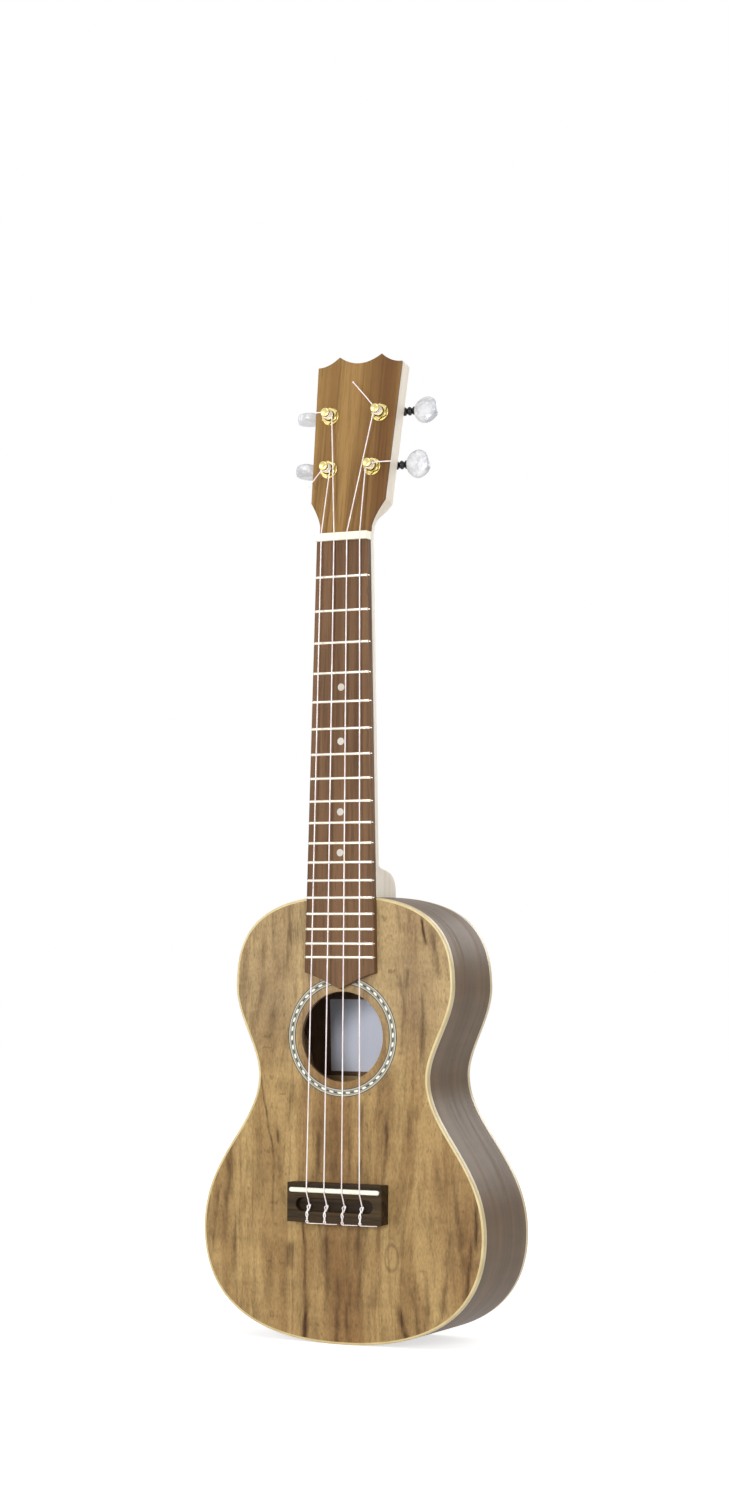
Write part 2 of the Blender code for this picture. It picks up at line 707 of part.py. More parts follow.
def build_bridge(parent, look):
    """Bridge with its saddle seat, tie slot and four tie holes, and the saddle."""
    upper = SADDLE_Z + BRIDGE_ABOVE_SADDLE
    lower = upper - BRIDGE_LENGTH
    reach = BRIDGE_WIDTH / 2
    block = [(-reach, lower), (reach, lower), (reach, upper), (-reach, upper)]
    bridge = plate("bridge", block, BRIDGE_TOP_Y, -GLUE_GAP, parent, look["bridge_wood"])
    above = BRIDGE_TOP_Y - BRIDGE_HEIGHT
    seat_floor = BRIDGE_TOP_Y + SADDLE_SEAT_DEPTH
    seat = stadium(SADDLE_WIDTH + 2 * GLUE_GAP, SADDLE_THICKNESS + 2 * GLUE_GAP, SADDLE_Z)
    tie_z = SADDLE_Z - TIE_SLOT_BELOW_SADDLE
    slot = stadium(TIE_SLOT_WIDTH, TIE_SLOT_LENGTH, tie_z)
    cutters = [
        plate("saddle_seat", seat, above, seat_floor, parent),
        plate("tie_slot", slot, above, BRIDGE_TOP_Y + TIE_SLOT_DEPTH, parent),
    ]
    combine(bridge, merged("bridge_slot_cutter", cutters, parent), "DIFFERENCE")
    hole_y = BRIDGE_TOP_Y + TIE_HOLE_DROP
    holes = []
    for index in range(STRING_COUNT):
        centre = (string_x(index, SADDLE_STRING_SPREAD), hole_y)
        ends = [(STRING_HOLE_RADIUS, lower - BRIDGE_LENGTH), (STRING_HOLE_RADIUS, tie_z)]
        holes.append(turned(f"tie_hole_{index}", ends, 8, parent, centre=centre))
    combine(bridge, merged("tie_hole_cutter", holes, parent), "DIFFERENCE")
    saddle = stadium(SADDLE_WIDTH, SADDLE_THICKNESS, SADDLE_Z)
    plate("saddle", saddle, SADDLE_TOP_Y, seat_floor - GLUE_GAP, parent, look["ivory"])


def head_point(x, up, out):
    """A point given across the head, up its face and out of its face, in the instrument's frame."""
    sine, cosine = math.sin(HEAD_TILT), math.cos(HEAD_TILT)
    x, up, out = np.broadcast_arrays(x, up, out)
    y = -HEAD_FACE_DROP + up * sine - out * cosine
    z = NUT_LENGTH + up * cosine + out * sine
    return np.stack([x, y, z], axis=-1)


def smooth_step(value, low, high):
    """Rises from 0 to 1 between two values, level at both ends."""
    share = min(max((value - low) / (high - low), 0.0), 1.0)
    return share * share * (3.0 - 2.0 * share)


def across_shares():
    """Places across the head, from -1 to 1, with one on each peak of its scalloped end."""
    peak = HEAD_PEAK_SPREAD / HEAD_TOP_WIDTH
    left = np.linspace(-1.0, -peak, HEAD_SIDE_POINTS)
    middle = np.linspace(-peak, peak, HEAD_MIDDLE_POINTS)
    return np.concatenate([left, middle[1:], -left[-2::-1]])


def head_half_width(up):
    """Half the head's width: a hollow curve out of the neck, a straight flare, then a slight spread."""
    start = BOARD_NUT_WIDTH / 2
    shoulder = HEAD_SHOULDER_WIDTH / 2
    if up < HEAD_SHOULDER_AT:
        share = max((up - HEAD_FLARE_AT / 2) / (HEAD_SHOULDER_AT - HEAD_FLARE_AT / 2), 0.0)
        return start + (shoulder - start) * share**HEAD_FLARE_CURVE
    share = (up - HEAD_SHOULDER_AT) / (HEAD_LENGTH - HEAD_SHOULDER_AT)
    return shoulder + (HEAD_TOP_WIDTH / 2 - shoulder) * share


def head_end(x):
    """Height of the head's scalloped end: two peaks with hollow curves beside and between them."""
    x = np.abs(x)
    corner, peak = HEAD_TOP_WIDTH / 2, HEAD_PEAK_SPREAD / 2
    share = np.clip((corner - x) / (corner - peak), 0.0, 1.0)
    outer = HEAD_PEAK_RISE * share - HEAD_SCALLOP_SAG * 4 * share * (1 - share)
    valley = HEAD_VALLEY_RISE + (HEAD_PEAK_RISE - HEAD_VALLEY_RISE) * (x / peak) ** 2
    return HEAD_LENGTH + np.where(x < peak, valley, outer)


def rounded_row(half, depth, roundness, end_half):
    """The back of a neck section from its right edge to its left: (x, depth) rows."""
    angles = math.pi * np.arange(len(across_shares())) / (len(across_shares()) - 1)
    cosine = np.cos(angles)
    x = np.sign(cosine) * np.abs(cosine) ** (2 / roundness)
    down = NECK_SIDE_WALL + (depth - NECK_SIDE_WALL) * np.abs(np.sin(angles)) ** (2 / roundness)
    return x * (half + (end_half - half) * down / depth), down


def heel_share(drop):
    """How much of a section is heel: a quarter superellipse over the height, run out in a small fillet."""
    inside = 1.0 - (drop / HEEL_HEIGHT) ** HEEL_FULLNESS
    return (HEEL_FILLET * math.log1p(math.exp(inside / HEEL_FILLET))) ** (1 / HEEL_FULLNESS)


def shaft_ring(z, share_of_heel):
    """One section of the neck below the nut."""
    along = z / BODY_TOP_Z
    neck_depth = NECK_NUT_DEPTH + (NECK_HEEL_DEPTH - NECK_NUT_DEPTH) * along
    depth = neck_depth + (HEEL_DEPTH - neck_depth) * share_of_heel
    half = float(board_half_width(min(z, 0.0)))
    roundness = 2.0 + (HEEL_ROUNDNESS - 2.0) * share_of_heel
    end_half = half + (HEEL_CAP_WIDTH / 2 - half) * share_of_heel
    back_x, back_y = rounded_row(half, depth, roundness, end_half)
    front_x = half * across_shares()
    x = np.concatenate([front_x, back_x])
    y = np.concatenate([np.zeros(len(front_x)), back_y])
    return np.column_stack([x, y, np.full(len(x), z)])


def head_ring(up):
    """One section of the head's core; it turns from the neck's round back to the head's flat one."""
    half = head_half_width(up)
    blend = smooth_step(up, HEAD_FLARE_AT / 3, HEAD_SHOULDER_AT)
    at_nut = NECK_NUT_DEPTH - VENEER_THICKNESS
    thickness = at_nut + (HEAD_CORE_THICKNESS - at_nut) * blend
    back_x, back_down = rounded_row(half, thickness, 2.0, half)
    shares = across_shares()
    back_x = (1 - blend) * back_x - blend * half * shares
    back_down = (1 - blend) * back_down + blend * thickness
    front = head_point(half * shares, up, -(VENEER_THICKNESS + GLUE_GAP))
    tilt = HEAD_TILT * blend
    start = head_point(0.0, up, -(VENEER_THICKNESS + GLUE_GAP))
    direction = np.array([0.0, math.cos(tilt), -math.sin(tilt)])
    back = start + back_down[:, None] * direction
    back[:, 0] = back_x
    return np.vstack([front, back])


def build_neck(parent, head_frame, look):
    """Neck, heel and head core in one piece of wood, and the veneer on the head's face."""
    rings = []
    for drop in HEEL_STATIONS:
        ring = shaft_ring(BODY_TOP_Z + drop, heel_share(drop))
        if drop == 0.0:
            ring[:, 2] = end_height(ring[:, 0], -GLUE_GAP, False)
        rings.append(ring)
    rings.append(shaft_ring(BODY_TOP_Z / 2, 0.0))
    rings.append(shaft_ring(0.0, 0.0))
    rings.append(shaft_ring(NUT_LENGTH - VENEER_THICKNESS, 0.0))
    rings += [head_ring(up) for up in HEAD_STATIONS]
    shares = across_shares()
    x = HEAD_TOP_WIDTH / 2 * shares
    end = head_end(x)
    front = head_point(x, end, -(VENEER_THICKNESS + GLUE_GAP))
    back = head_point(x[::-1], end[::-1], -HEAD_BACK)
    rings.append(np.vstack([front, back]))
    neck = loft("neck", rings, parent, look["pale_wood"], smooth=True, in_strips=True)
    veneer_rings = []
    for up in (2 * GLUE_GAP, *HEAD_STATIONS[1:]):
        across = head_half_width(up) * shares
        veneer_rings.append(veneer_ring(across, np.full(len(across), up)))
    veneer_rings.append(veneer_ring(x, end))
    veneer = loft("head_veneer", veneer_rings, head_frame, look["head_wood"], in_strips=True)
    for target in (neck, veneer):
        holes = []
        for place, (px, up) in post_places().items():
            ends = [(BUSHING_BARREL_RADIUS + GLUE_GAP, level) for level in (-2 * HEAD_BACK, HEAD_BACK)]
            holes.append(turned(f"hole_{place}", ends, 16, head_frame, centre=(px, up)))
        combine(target, merged(f"{target.name}_hole_cutter", holes, head_frame), "DIFFERENCE")


def veneer_ring(across, up):
    """A section of the veneer in the head's own frame."""
    front = np.column_stack([across, up, np.zeros(len(across))])
    back = np.column_stack([across, up, np.full(len(across), -VENEER_THICKNESS)])[::-1]
    return np.vstack([front, back])


def post_places():
    """Where the four posts stand on the head's face: across it and up it."""
    return {
        "bass_upper": (-POST_UPPER_SPREAD / 2, POST_UPPER_AT),
        "bass_lower": (-POST_LOWER_SPREAD / 2, POST_LOWER_AT),
        "treble_upper": (POST_UPPER_SPREAD / 2, POST_UPPER_AT),
        "treble_lower": (POST_LOWER_SPREAD / 2, POST_LOWER_AT),
    }


def build_bushing(place, centre, head_frame, look):
    """A threaded barrel through the head with a washer and a hexagon on its face, in one piece."""
    angles = 2 * math.pi * np.arange(12) / 12
    corner = np.where(np.arange(12) % 2 == 0, 1 / math.cos(math.pi / 6), 1.0)
    hexagon = BUSHING_FLATS / 2 * corner
    round_hole = POST_RADIUS + RUNNING_GAP
    washer_top = GLUE_GAP + WASHER_THICKNESS
    levels = [
        (BUSHING_BARREL_RADIUS, -BUSHING_BARREL_LENGTH),
        (BUSHING_BARREL_RADIUS, GLUE_GAP),
        (WASHER_RADIUS, GLUE_GAP),
        (WASHER_RADIUS, washer_top),
        (hexagon, washer_top),
        (hexagon, BUSHING_TOP),
        (round_hole, BUSHING_TOP),
        (round_hole, -BUSHING_BARREL_LENGTH),
    ]
    loops = []
    for radius, out in levels:
        across = centre[0] + radius * np.cos(angles)
        up = centre[1] + radius * np.sin(angles)
        loops.append(np.column_stack([across, up, np.full(len(angles), out)]))
    loft(f"bushing_{place}", loops, head_frame, look["gold"], ring=True, smooth=True)


def gear_section(out):
    """The gear's toothed outline at a distance from its middle plane, turned by the worm's lead."""
    twist = out * WORM_PITCH / (2 * math.pi * WORM_PITCH_RADIUS) / GEAR_PITCH_RADIUS
    slope = math.tan(PRESSURE_ANGLE)
    tip, root = GEAR_PITCH_RADIUS + TOOTH_ADDENDUM, GEAR_PITCH_RADIUS - TOOTH_DEDENDUM
    tip_half = (TOOTH_THICKNESS / 2 - TOOTH_ADDENDUM * slope) / tip
    root_half = (TOOTH_THICKNESS / 2 + TOOTH_DEDENDUM * slope) / root
    points = []
    for tooth in range(GEAR_TEETH):
        middle = math.pi / 2 + twist + 2 * math.pi * tooth / GEAR_TEETH
        for radius, offset in ((root, -root_half), (tip, -tip_half), (tip, tip_half), (root, root_half)):
            angle = middle + offset
            points.append((radius * math.cos(angle), radius * math.sin(angle), out - WORM_DEPTH))
    return points


def build_post(place, centre, head_frame, look, hole_angle):
    """A string post with its gear and retaining screw, on its own axis."""
    gear_back = -WORM_DEPTH - GEAR_THICKNESS / 2
    plate_back = -PLATE_BACK - RUNNING_GAP
    profile = [
        (GEAR_SCREW_RADIUS / 2, gear_back - GEAR_SCREW_HEIGHT),
        (GEAR_SCREW_RADIUS, gear_back - GEAR_SCREW_HEIGHT / 2),
        (GEAR_SCREW_RADIUS, -WORM_DEPTH),
        (POST_RADIUS, -WORM_DEPTH),
        (POST_RADIUS, plate_back),
        (POST_NECK_RADIUS, plate_back),
        (POST_NECK_RADIUS, -HEAD_BACK),
        (POST_RADIUS, -HEAD_BACK),
        (POST_RADIUS, POST_WAIST_START),
        (POST_WAIST_RADIUS, POST_WAIST_START),
        (POST_WAIST_RADIUS, POST_WAIST_END),
        (POST_RADIUS, POST_WAIST_END),
        (POST_RADIUS, POST_TOP - POST_CAP_HEIGHT / 2),
        (POST_DOME_RADIUS, POST_TOP),
    ]
    location = (*centre, 0.0)
    post = turned(f"post_{place}", profile, POST_STEPS, head_frame, look["gold"], location=location)
    half = GEAR_THICKNESS / 2
    gear = loft(f"gear_{place}", [gear_section(-half), gear_section(half)], head_frame, location=location)
    combine(post, gear, "UNION")
    reach = 2 * POST_RADIUS
    ends = [(POST_HOLE_RADIUS, -reach), (POST_HOLE_RADIUS, reach)]
    bore = turned(f"bore_{place}", ends, 8, head_frame, axis="x")
    bore.location = (*centre, WINDING_END)
    bore.rotation_euler = (0.0, 0.0, hole_angle)
    combine(post, bore, "DIFFERENCE")


def thread_radius(angle, x):
    """Radius of the worm's right-handed thread at an angle round its axis and a place along it."""
    offset = np.mod(x - WORM_PITCH * angle / (2 * math.pi) + WORM_PITCH / 2, WORM_PITCH) - WORM_PITCH / 2
    slope = math.tan(PRESSURE_ANGLE)
    crest_half = TOOTH_THICKNESS / 2 - TOOTH_ADDENDUM * slope
    root_half = TOOTH_THICKNESS / 2 + TOOTH_DEDENDUM * slope
    share = np.clip((np.abs(offset) - crest_half) / (root_half - crest_half), 0.0, 1.0)
    return WORM_OUTER_RADIUS + (WORM_ROOT_RADIUS - WORM_OUTER_RADIUS) * share


def build_worm(place, centre, side, head_frame, look):
    """A worm with its shaft and turned stem, lying across the head behind its post."""
    angles = 2 * math.pi * np.arange(WORM_STEPS) / WORM_STEPS
    half = WORM_LENGTH / 2
    levels = math.ceil(WORM_LENGTH / WORM_PITCH * WORM_LEVELS_PER_TURN)
    rows = [(SHAFT_RADIUS, -LUG_AT - LUG_THICKNESS), (SHAFT_RADIUS, -half)]
    for along in np.linspace(-half, half, levels + 1)[1:-1]:
        rows.append((thread_radius(angles, side * along), along))
    rows += [(SHAFT_RADIUS, half), (SHAFT_RADIUS, STEM_START)]
    stem_end = BUTTON_START - GLUE_GAP
    for share, full in STEM_PROFILE:
        radius = STEM_WAIST_RADIUS + (STEM_RADIUS - STEM_WAIST_RADIUS) * full
        rows.append((radius, STEM_START + (stem_end - STEM_START) * share))
    rows += [(SHAFT_RADIUS, stem_end), (SHAFT_RADIUS, BUTTON_START + BUTTON_SHAFT_REACH)]
    loops = []
    for radius, along in rows:
        radius = np.broadcast_to(radius, len(angles))
        level = np.full(len(angles), side * along)
        loops.append(np.column_stack([level, radius * np.cos(angles), radius * np.sin(angles)]))
    worm = loft(f"worm_{place}", loops, head_frame, look["black"], smooth=True)
    worm.location = (centre[0], centre[1] + CENTRE_DISTANCE, -WORM_DEPTH)
    return worm


def build_button(place, side, worm, look):
    """A rounded, slightly lens-shaped button pressed on the end of the worm's shaft."""
    angles = 2 * math.pi * (np.arange(BUTTON_STEPS) + 0.5) / BUTTON_STEPS
    across, up = np.cos(angles), np.sin(angles)
    square_x = np.sign(across) * np.abs(across) ** BUTTON_SQUARENESS
    square_y = np.sign(up) * np.abs(up) ** BUTTON_SQUARENESS
    first, last = math.pi - BUTTON_END_TURN, BUTTON_TIP_TURN
    loops = []
    for turn in np.linspace(first, last, BUTTON_SECTIONS):
        share = (math.cos(turn) - math.cos(first)) / (math.cos(last) - math.cos(first))
        along = BUTTON_START + BUTTON_LENGTH * share
        height = BUTTON_HEIGHT / 2 * math.sin(turn)
        thickness = BUTTON_THICKNESS / 2 * math.sin(turn) ** BUTTON_EDGE_FULLNESS
        level = np.full(len(angles), side * along)
        loops.append(np.column_stack([level, height * square_x, thickness * square_y]))
    button = loft(f"button_{place}", loops, worm, look["pearl"], smooth=True)
    button.rotation_euler = (BUTTON_TURNS[place], 0.0, 0.0)
    bore_radius = SHAFT_RADIUS + GLUE_GAP
    near = side * (BUTTON_START - BUTTON_LENGTH)
    far = side * (BUTTON_START + BUTTON_SHAFT_REACH + GLUE_GAP)
    bore = turned(f"button_bore_{place}", [(bore_radius, near), (bore_radius, far)], 10, worm, axis="x")
    combine(button, bore, "DIFFERENCE")


def build_plate(name, upper, lower, head_frame, look):
    """The plate behind one side of the head: two posts pass it, lugs hold two worms, screws fix it."""
    front, back = -HEAD_BACK - GLUE_GAP, -PLATE_BACK
    upper, lower = np.array(upper), np.array(lower)
    along = (upper - lower) / np.linalg.norm(upper - lower)
    ends = [lower - along * PLATE_OVERREACH, upper + along * PLATE_OVERREACH]
    corners = []
    for end, side in ((ends[0], -1), (ends[0], 1), (ends[1], 1), (ends[1], -1)):
        corners.append((end[0] + side * PLATE_WIDTH / 2, end[1]))
    loops = [[(x, up, out) for x, up in corners] for out in (front, back)]
    base = loft(name, loops, head_frame, look["gold"])
    raised = []
    for px, up in (upper, lower):
        worm_up = up + CENTRE_DISTANCE
        for side in (-1, 1):
            x = px + side * LUG_AT
            low = (x - LUG_THICKNESS / 2, worm_up - LUG_WIDTH / 2, -WORM_DEPTH - LUG_WIDTH / 2)
            high = (x + LUG_THICKNESS / 2, worm_up + LUG_WIDTH / 2, back + PLATE_THICKNESS / 2)
            raised.append(box("lug", low, high, head_frame))
    middle = (upper + lower) / 2
    for spot in (ends[0] + along * SCREW_INSET, middle, ends[1] - along * SCREW_INSET):
        profile = [
            (SCREW_HEAD_RADIUS, back + PLATE_THICKNESS / 2),
            (SCREW_HEAD_RADIUS, back - SCREW_HEAD_HEIGHT / 2),
            (SCREW_HEAD_RADIUS / 2, back - SCREW_HEAD_HEIGHT),
        ]
        raised.append(turned("screw_head", profile, 10, head_frame, centre=tuple(spot)))
    combine(base, merged(f"{name}_raised", raised, head_frame), "UNION")
    holes = []
    for px, up in (upper, lower):
        post_hole = POST_NECK_RADIUS + RUNNING_GAP
        ends = [(post_hole, back - PLATE_THICKNESS), (post_hole, front + PLATE_THICKNESS)]
        holes.append(turned("post_hole", ends, 16, head_frame, centre=(px, up)))
        shaft_hole = SHAFT_RADIUS + RUNNING_GAP
        reach = 2 * LUG_AT
        ends = [(shaft_hole, px - reach), (shaft_hole, px + reach)]
        worm_centre = (up + CENTRE_DISTANCE, -WORM_DEPTH)
        holes.append(turned("shaft_hole", ends, 10, head_frame, centre=worm_centre, axis="x"))
    combine(base, merged(f"{name}_holes", holes, head_frame), "DIFFERENCE")


def winding(place, centre, nut_point):
    """The string's turns round its post: where they start, and their points in the head's frame.

    A bass post is met on its right and wound anticlockwise, a treble post the other way round, so both
    pull towards the centre line. The turns end where the string goes straight through the post's hole
    and leaves in its tail's direction.
    """
    sense = 1.0 if place.startswith("bass") else -1.0
    away = np.array(centre) - nut_point[:2]
    bearing = math.atan2(away[1], away[0])
    bearing -= sense * math.asin(WINDING_RADIUS / np.linalg.norm(away))
    first = bearing - sense * math.pi / 2
    last_angle = TAIL_DIRECTIONS[place] + math.pi
    part_turn = (sense * (last_angle - first) / (2 * math.pi) - FEWEST_TURNS) % 1.0
    turns = FEWEST_TURNS + part_turn
    share = np.linspace(0.0, 1.0, round(turns * LOOP_POINTS) + 1)
    angles = first + sense * 2 * math.pi * turns * share
    out = WINDING_START + WINDING_HEIGHT * share
    across = centre[0] + WINDING_RADIUS * np.cos(angles)
    up = centre[1] + WINDING_RADIUS * np.sin(angles)
    return across, up, out, angles[-1]


def string_route(index, place, centre):
    """The whole route of one string, from behind the bridge to its last turn round the post."""
    saddle_x = string_x(index, SADDLE_STRING_SPREAD)
    nut_x = string_x(index, NUT_STRING_SPREAD)
    hole_y = BRIDGE_TOP_Y + TIE_HOLE_DROP
    bridge_end = SADDLE_Z + BRIDGE_ABOVE_SADDLE - BRIDGE_LENGTH
    slot_end = SADDLE_Z - TIE_SLOT_BELOW_SADDLE - TIE_SLOT_LENGTH / 2
    half_saddle = SADDLE_THICKNESS / 2
    points = [
        (saddle_x, hole_y, bridge_end - TIE_TAIL),
        (saddle_x, hole_y, slot_end),
        (saddle_x, SADDLE_STRING_Y, SADDLE_Z - half_saddle),
        (saddle_x, SADDLE_STRING_Y, SADDLE_Z + half_saddle),
        (nut_x, NUT_STRING_Y, 0.0),
        (nut_x, NUT_STRING_Y, NUT_LENGTH),
    ]
    nut_out = -(NUT_STRING_Y + HEAD_FACE_DROP) * math.cos(HEAD_TILT)
    across, up, out, last = winding(place, centre, np.array([nut_x, 0.0, nut_out]))
    return np.vstack([points, head_point(across, up, out)]), last


def least_self_gap(points, diameter):
    """Smallest clear distance between stretches of one string that lie half a turn or more apart."""
    fine = np.vstack([np.linspace(a, b, 6, endpoint=False) for a, b in zip(points[6:], points[7:])])
    steps = np.linalg.norm(np.diff(fine, axis=0), axis=1)
    travelled = np.concatenate([[0.0], np.cumsum(steps)])
    apart = np.abs(travelled[:, None] - travelled[None, :]) > math.pi * WINDING_RADIUS
    distance = np.linalg.norm(fine[:, None] - fine[None, :], axis=2)
    return float(distance[apart].min()) - diameter


def build_string(index, place, centre, parent, look):
    """One string as an unbroken tube; returns the angle of its last turn."""
    points, last = string_route(index, place, centre)
    data = bpy.data.curves.new(f"string_{index + 1}", "CURVE")
    data.dimensions = "3D"
    data.bevel_depth = STRING_RADIUS
    data.bevel_resolution = 1
    data.use_fill_caps = True
    spline = data.splines.new("POLY")
    spline.points.add(len(points) - 1)
    for target, point in zip(spline.points, points):
        target.co = (*point, 1.0)
    add_object(f"string_{index + 1}", data, parent, look["nylon"])
    gap = 1000 * least_self_gap(points, 2 * STRING_RADIUS)
    print(f"string {index + 1}: least gap to itself {gap:.2f} mm")
    return last


def build_tuners(parent, head_frame, look):
    """Strings, posts, bushings, worms, buttons and the two plates."""
    places = post_places()
    order = ("bass_lower", "bass_upper", "treble_upper", "treble_lower")
    last_turn = {}
    for index, place in enumerate(order):
        last_turn[place] = build_string(index, place, places[place], parent, look)
    for place, centre in places.items():
        side = -1 if place.startswith("bass") else 1
        build_bushing(place, centre, head_frame, look)
        build_post(place, centre, head_frame, look, last_turn[place])
        worm = build_worm(place, centre, side, head_frame, look)
        build_button(place, side, worm, look)
    for name in ("bass", "treble"):
        build_plate(f"tuner_plate_{name}", places[f"{name}_upper"], places[f"{name}_lower"], head_frame, look)


def main():
    """Builds the instrument in an empty scene."""
    for old in list(bpy.data.objects):
        bpy.data.objects.remove(old)
    instrument = add_object("instrument", None, None, None)
    instrument.location = (0.0, -HANGER_DEPTH, -HANGER_HEIGHT)
    head_frame = add_object("head_frame", None, instrument, None)
    head_frame.location = (0.0, -HEAD_FACE_DROP, NUT_LENGTH)
    head_frame.rotation_euler = (math.pi / 2 - HEAD_TILT, 0.0, 0.0)
    look = finishes()
    build_body(instrument, look)
    build_fingerboard(instrument, look)
    build_nut(instrument, look)
    build_bridge(instrument, look)
    build_neck(instrument, head_frame, look)
    build_tuners(instrument, head_frame, look)
    bpy.context.view_layer.update()


main()
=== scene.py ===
"""The looks of a small four-string guitar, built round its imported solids.

Every piece is made in metres in the solids' own frame: +Z up the neck, -Y out of the soundboard and +X
to the right seen from the front. The classes count their sizes from the nut's front edge and the
soundboard's face, and NUT_CORNER carries them into the frame.
"""

import logging
import math
from dataclasses import dataclass, field
from enum import Enum
from functools import cache

import bmesh
import bpy
import numpy as np
from mathutils import Matrix, Vector
from numpy.typing import ArrayLike, NDArray


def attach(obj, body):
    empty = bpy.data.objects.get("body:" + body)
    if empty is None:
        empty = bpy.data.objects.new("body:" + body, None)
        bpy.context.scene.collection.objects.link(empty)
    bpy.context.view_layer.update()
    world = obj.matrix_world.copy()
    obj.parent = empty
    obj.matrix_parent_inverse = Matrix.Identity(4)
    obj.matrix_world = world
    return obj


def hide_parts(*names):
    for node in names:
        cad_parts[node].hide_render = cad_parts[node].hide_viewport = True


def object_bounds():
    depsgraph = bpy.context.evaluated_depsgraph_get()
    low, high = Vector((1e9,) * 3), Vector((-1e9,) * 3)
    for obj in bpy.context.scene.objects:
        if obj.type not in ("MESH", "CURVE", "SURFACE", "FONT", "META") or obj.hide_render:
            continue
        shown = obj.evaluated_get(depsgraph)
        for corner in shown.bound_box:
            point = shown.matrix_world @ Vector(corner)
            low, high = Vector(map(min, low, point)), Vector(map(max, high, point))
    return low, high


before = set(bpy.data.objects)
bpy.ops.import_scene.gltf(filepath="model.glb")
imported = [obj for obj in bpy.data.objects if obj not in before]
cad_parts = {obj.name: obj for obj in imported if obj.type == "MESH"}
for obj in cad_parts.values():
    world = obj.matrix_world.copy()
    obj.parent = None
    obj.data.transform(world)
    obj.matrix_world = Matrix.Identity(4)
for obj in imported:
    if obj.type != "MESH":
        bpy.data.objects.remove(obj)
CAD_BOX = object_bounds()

Array = NDArray[np.float64]
Colour = tuple[int, int, int]
Pair = tuple[float, float]
Triple = tuple[float, float, float]
Socket = bpy.types.NodeSocket
Node = bpy.types.Node
Tree = bpy.types.NodeTree
Piece = bpy.types.Object

log = logging.getLogger("instrument")

NUT_CORNER = np.array([0.0, -0.006, -0.009])
ROOT = "instrument"
STRING_COUNT = 4
FRET_COUNT = 18
NUT_LENGTH = 0.0042
HEAD_SETBACK = 0.0005
HEAD_TILT = 10.25
HOLE_Z = -0.257475
GLUE = 0.00003
CREASE = 35.0
BEVEL_ANGLE = 38.0
SQUARE = ((-1, -1), (1, -1), (1, 1), (-1, 1))


# Shapes worked out as arrays


class Plate(Enum):
    """The two plates of the body, each with a binding round it."""

    TOP = "top"
    BACK = "back"


class Ends(Enum):
    """How the first and the last row of a skin are closed."""

    FLAT = "one face over each"
    STRIPS = "quads from the first half of each to its second half, which runs the other way"
    JOINED = "the last row meets the first"


def linked(name: str, data: bpy.types.ID) -> Piece:
    """Puts new data into the scene as an object at the origin."""
    made = bpy.data.objects.new(name, data)
    bpy.context.scene.collection.objects.link(made)
    return made


def smoothed(mesh: bpy.types.Mesh, crease: float = CREASE) -> bpy.types.Mesh:
    """Smooths a mesh except at the edges that are sharper than the crease, in degrees."""
    mesh.shade_smooth()
    mesh.set_sharp_from_angle(angle=math.radians(crease))
    return mesh


def skin(
    name: str, rows: ArrayLike, ends: Ends = Ends.FLAT, uv: Array | None = None, crease: float = CREASE
) -> Piece:
    """Covers a grid of points with quads, round each row and from row to row, and closes it.

    Args:
        name: Name of the new object.
        rows: Points (rows, columns, 3) counted from the nut's corner.
        ends: How the first and the last row are closed.
        uv: Pattern coordinates (rows, columns, 2) with one column more, and one row more where the
            rows meet.
        crease: Edges sharper than this, in degrees, stay crisp.

    Returns:
        The object, at the origin, with its place in its mesh and its faces outwards.
    """
    grid = np.asarray(rows)
    count, columns = grid.shape[:2]
    index = np.arange(count * columns).reshape(count, columns)
    first, last = index[0], index[-1]
    if ends is Ends.JOINED:
        index = np.vstack([index, index[:1]])
    index = np.hstack([index, index[:, :1]])
    corners = (np.s_[:-1, :-1], np.s_[:-1, 1:], np.s_[1:, 1:], np.s_[1:, :-1])
    faces = np.stack([index[c] for c in corners], axis=-1).reshape(-1, 4).tolist()
    if ends is Ends.FLAT:
        faces += [first.tolist(), last.tolist()]
    if ends is Ends.STRIPS:
        for row in (first, last):
            front, back = row[: columns // 2], row[columns // 2 :][::-1]
            faces += np.stack([front[:-1], front[1:], back[1:], back[:-1]], axis=-1).tolist()
    mesh = bpy.data.meshes.new(name)
    mesh.from_pydata((grid.reshape(-1, 3) + NUT_CORNER).tolist(), [], faces)
    if uv is not None:
        spread = np.stack([uv[c] for c in corners], axis=2).reshape(-1, 2)
        tips = [uv[0, :columns], uv[-1, :columns]] if ends is Ends.FLAT else []
        layer = mesh.uv_layers.new(name="UVMap")
        layer.data.foreach_set("uv", np.vstack([spread, *tips]).ravel())
    shell = bmesh.new()
    shell.from_mesh(mesh)
    bmesh.ops.recalc_face_normals(shell, faces=shell.faces)
    if shell.calc_volume(signed=True) < 0.0:
        bmesh.ops.reverse_faces(shell, faces=shell.faces)
    shell.to_mesh(mesh)
    shell.free()
    return linked(name, smoothed(mesh, crease))


def joined(name: str, pieces: list[Piece]) -> Piece:
    """Puts several closed shells into one object.

    Args:
        name: Name of the new object.
        pieces: Objects at the origin, which are used up.

    Returns:
        The one object.
    """
    shell = bmesh.new()
    for piece in pieces:
        shell.from_mesh(piece.data)
        bpy.data.objects.remove(piece)
    mesh = bpy.data.meshes.new(name)
    shell.to_mesh(mesh)
    shell.free()
    return linked(name, smoothed(mesh))


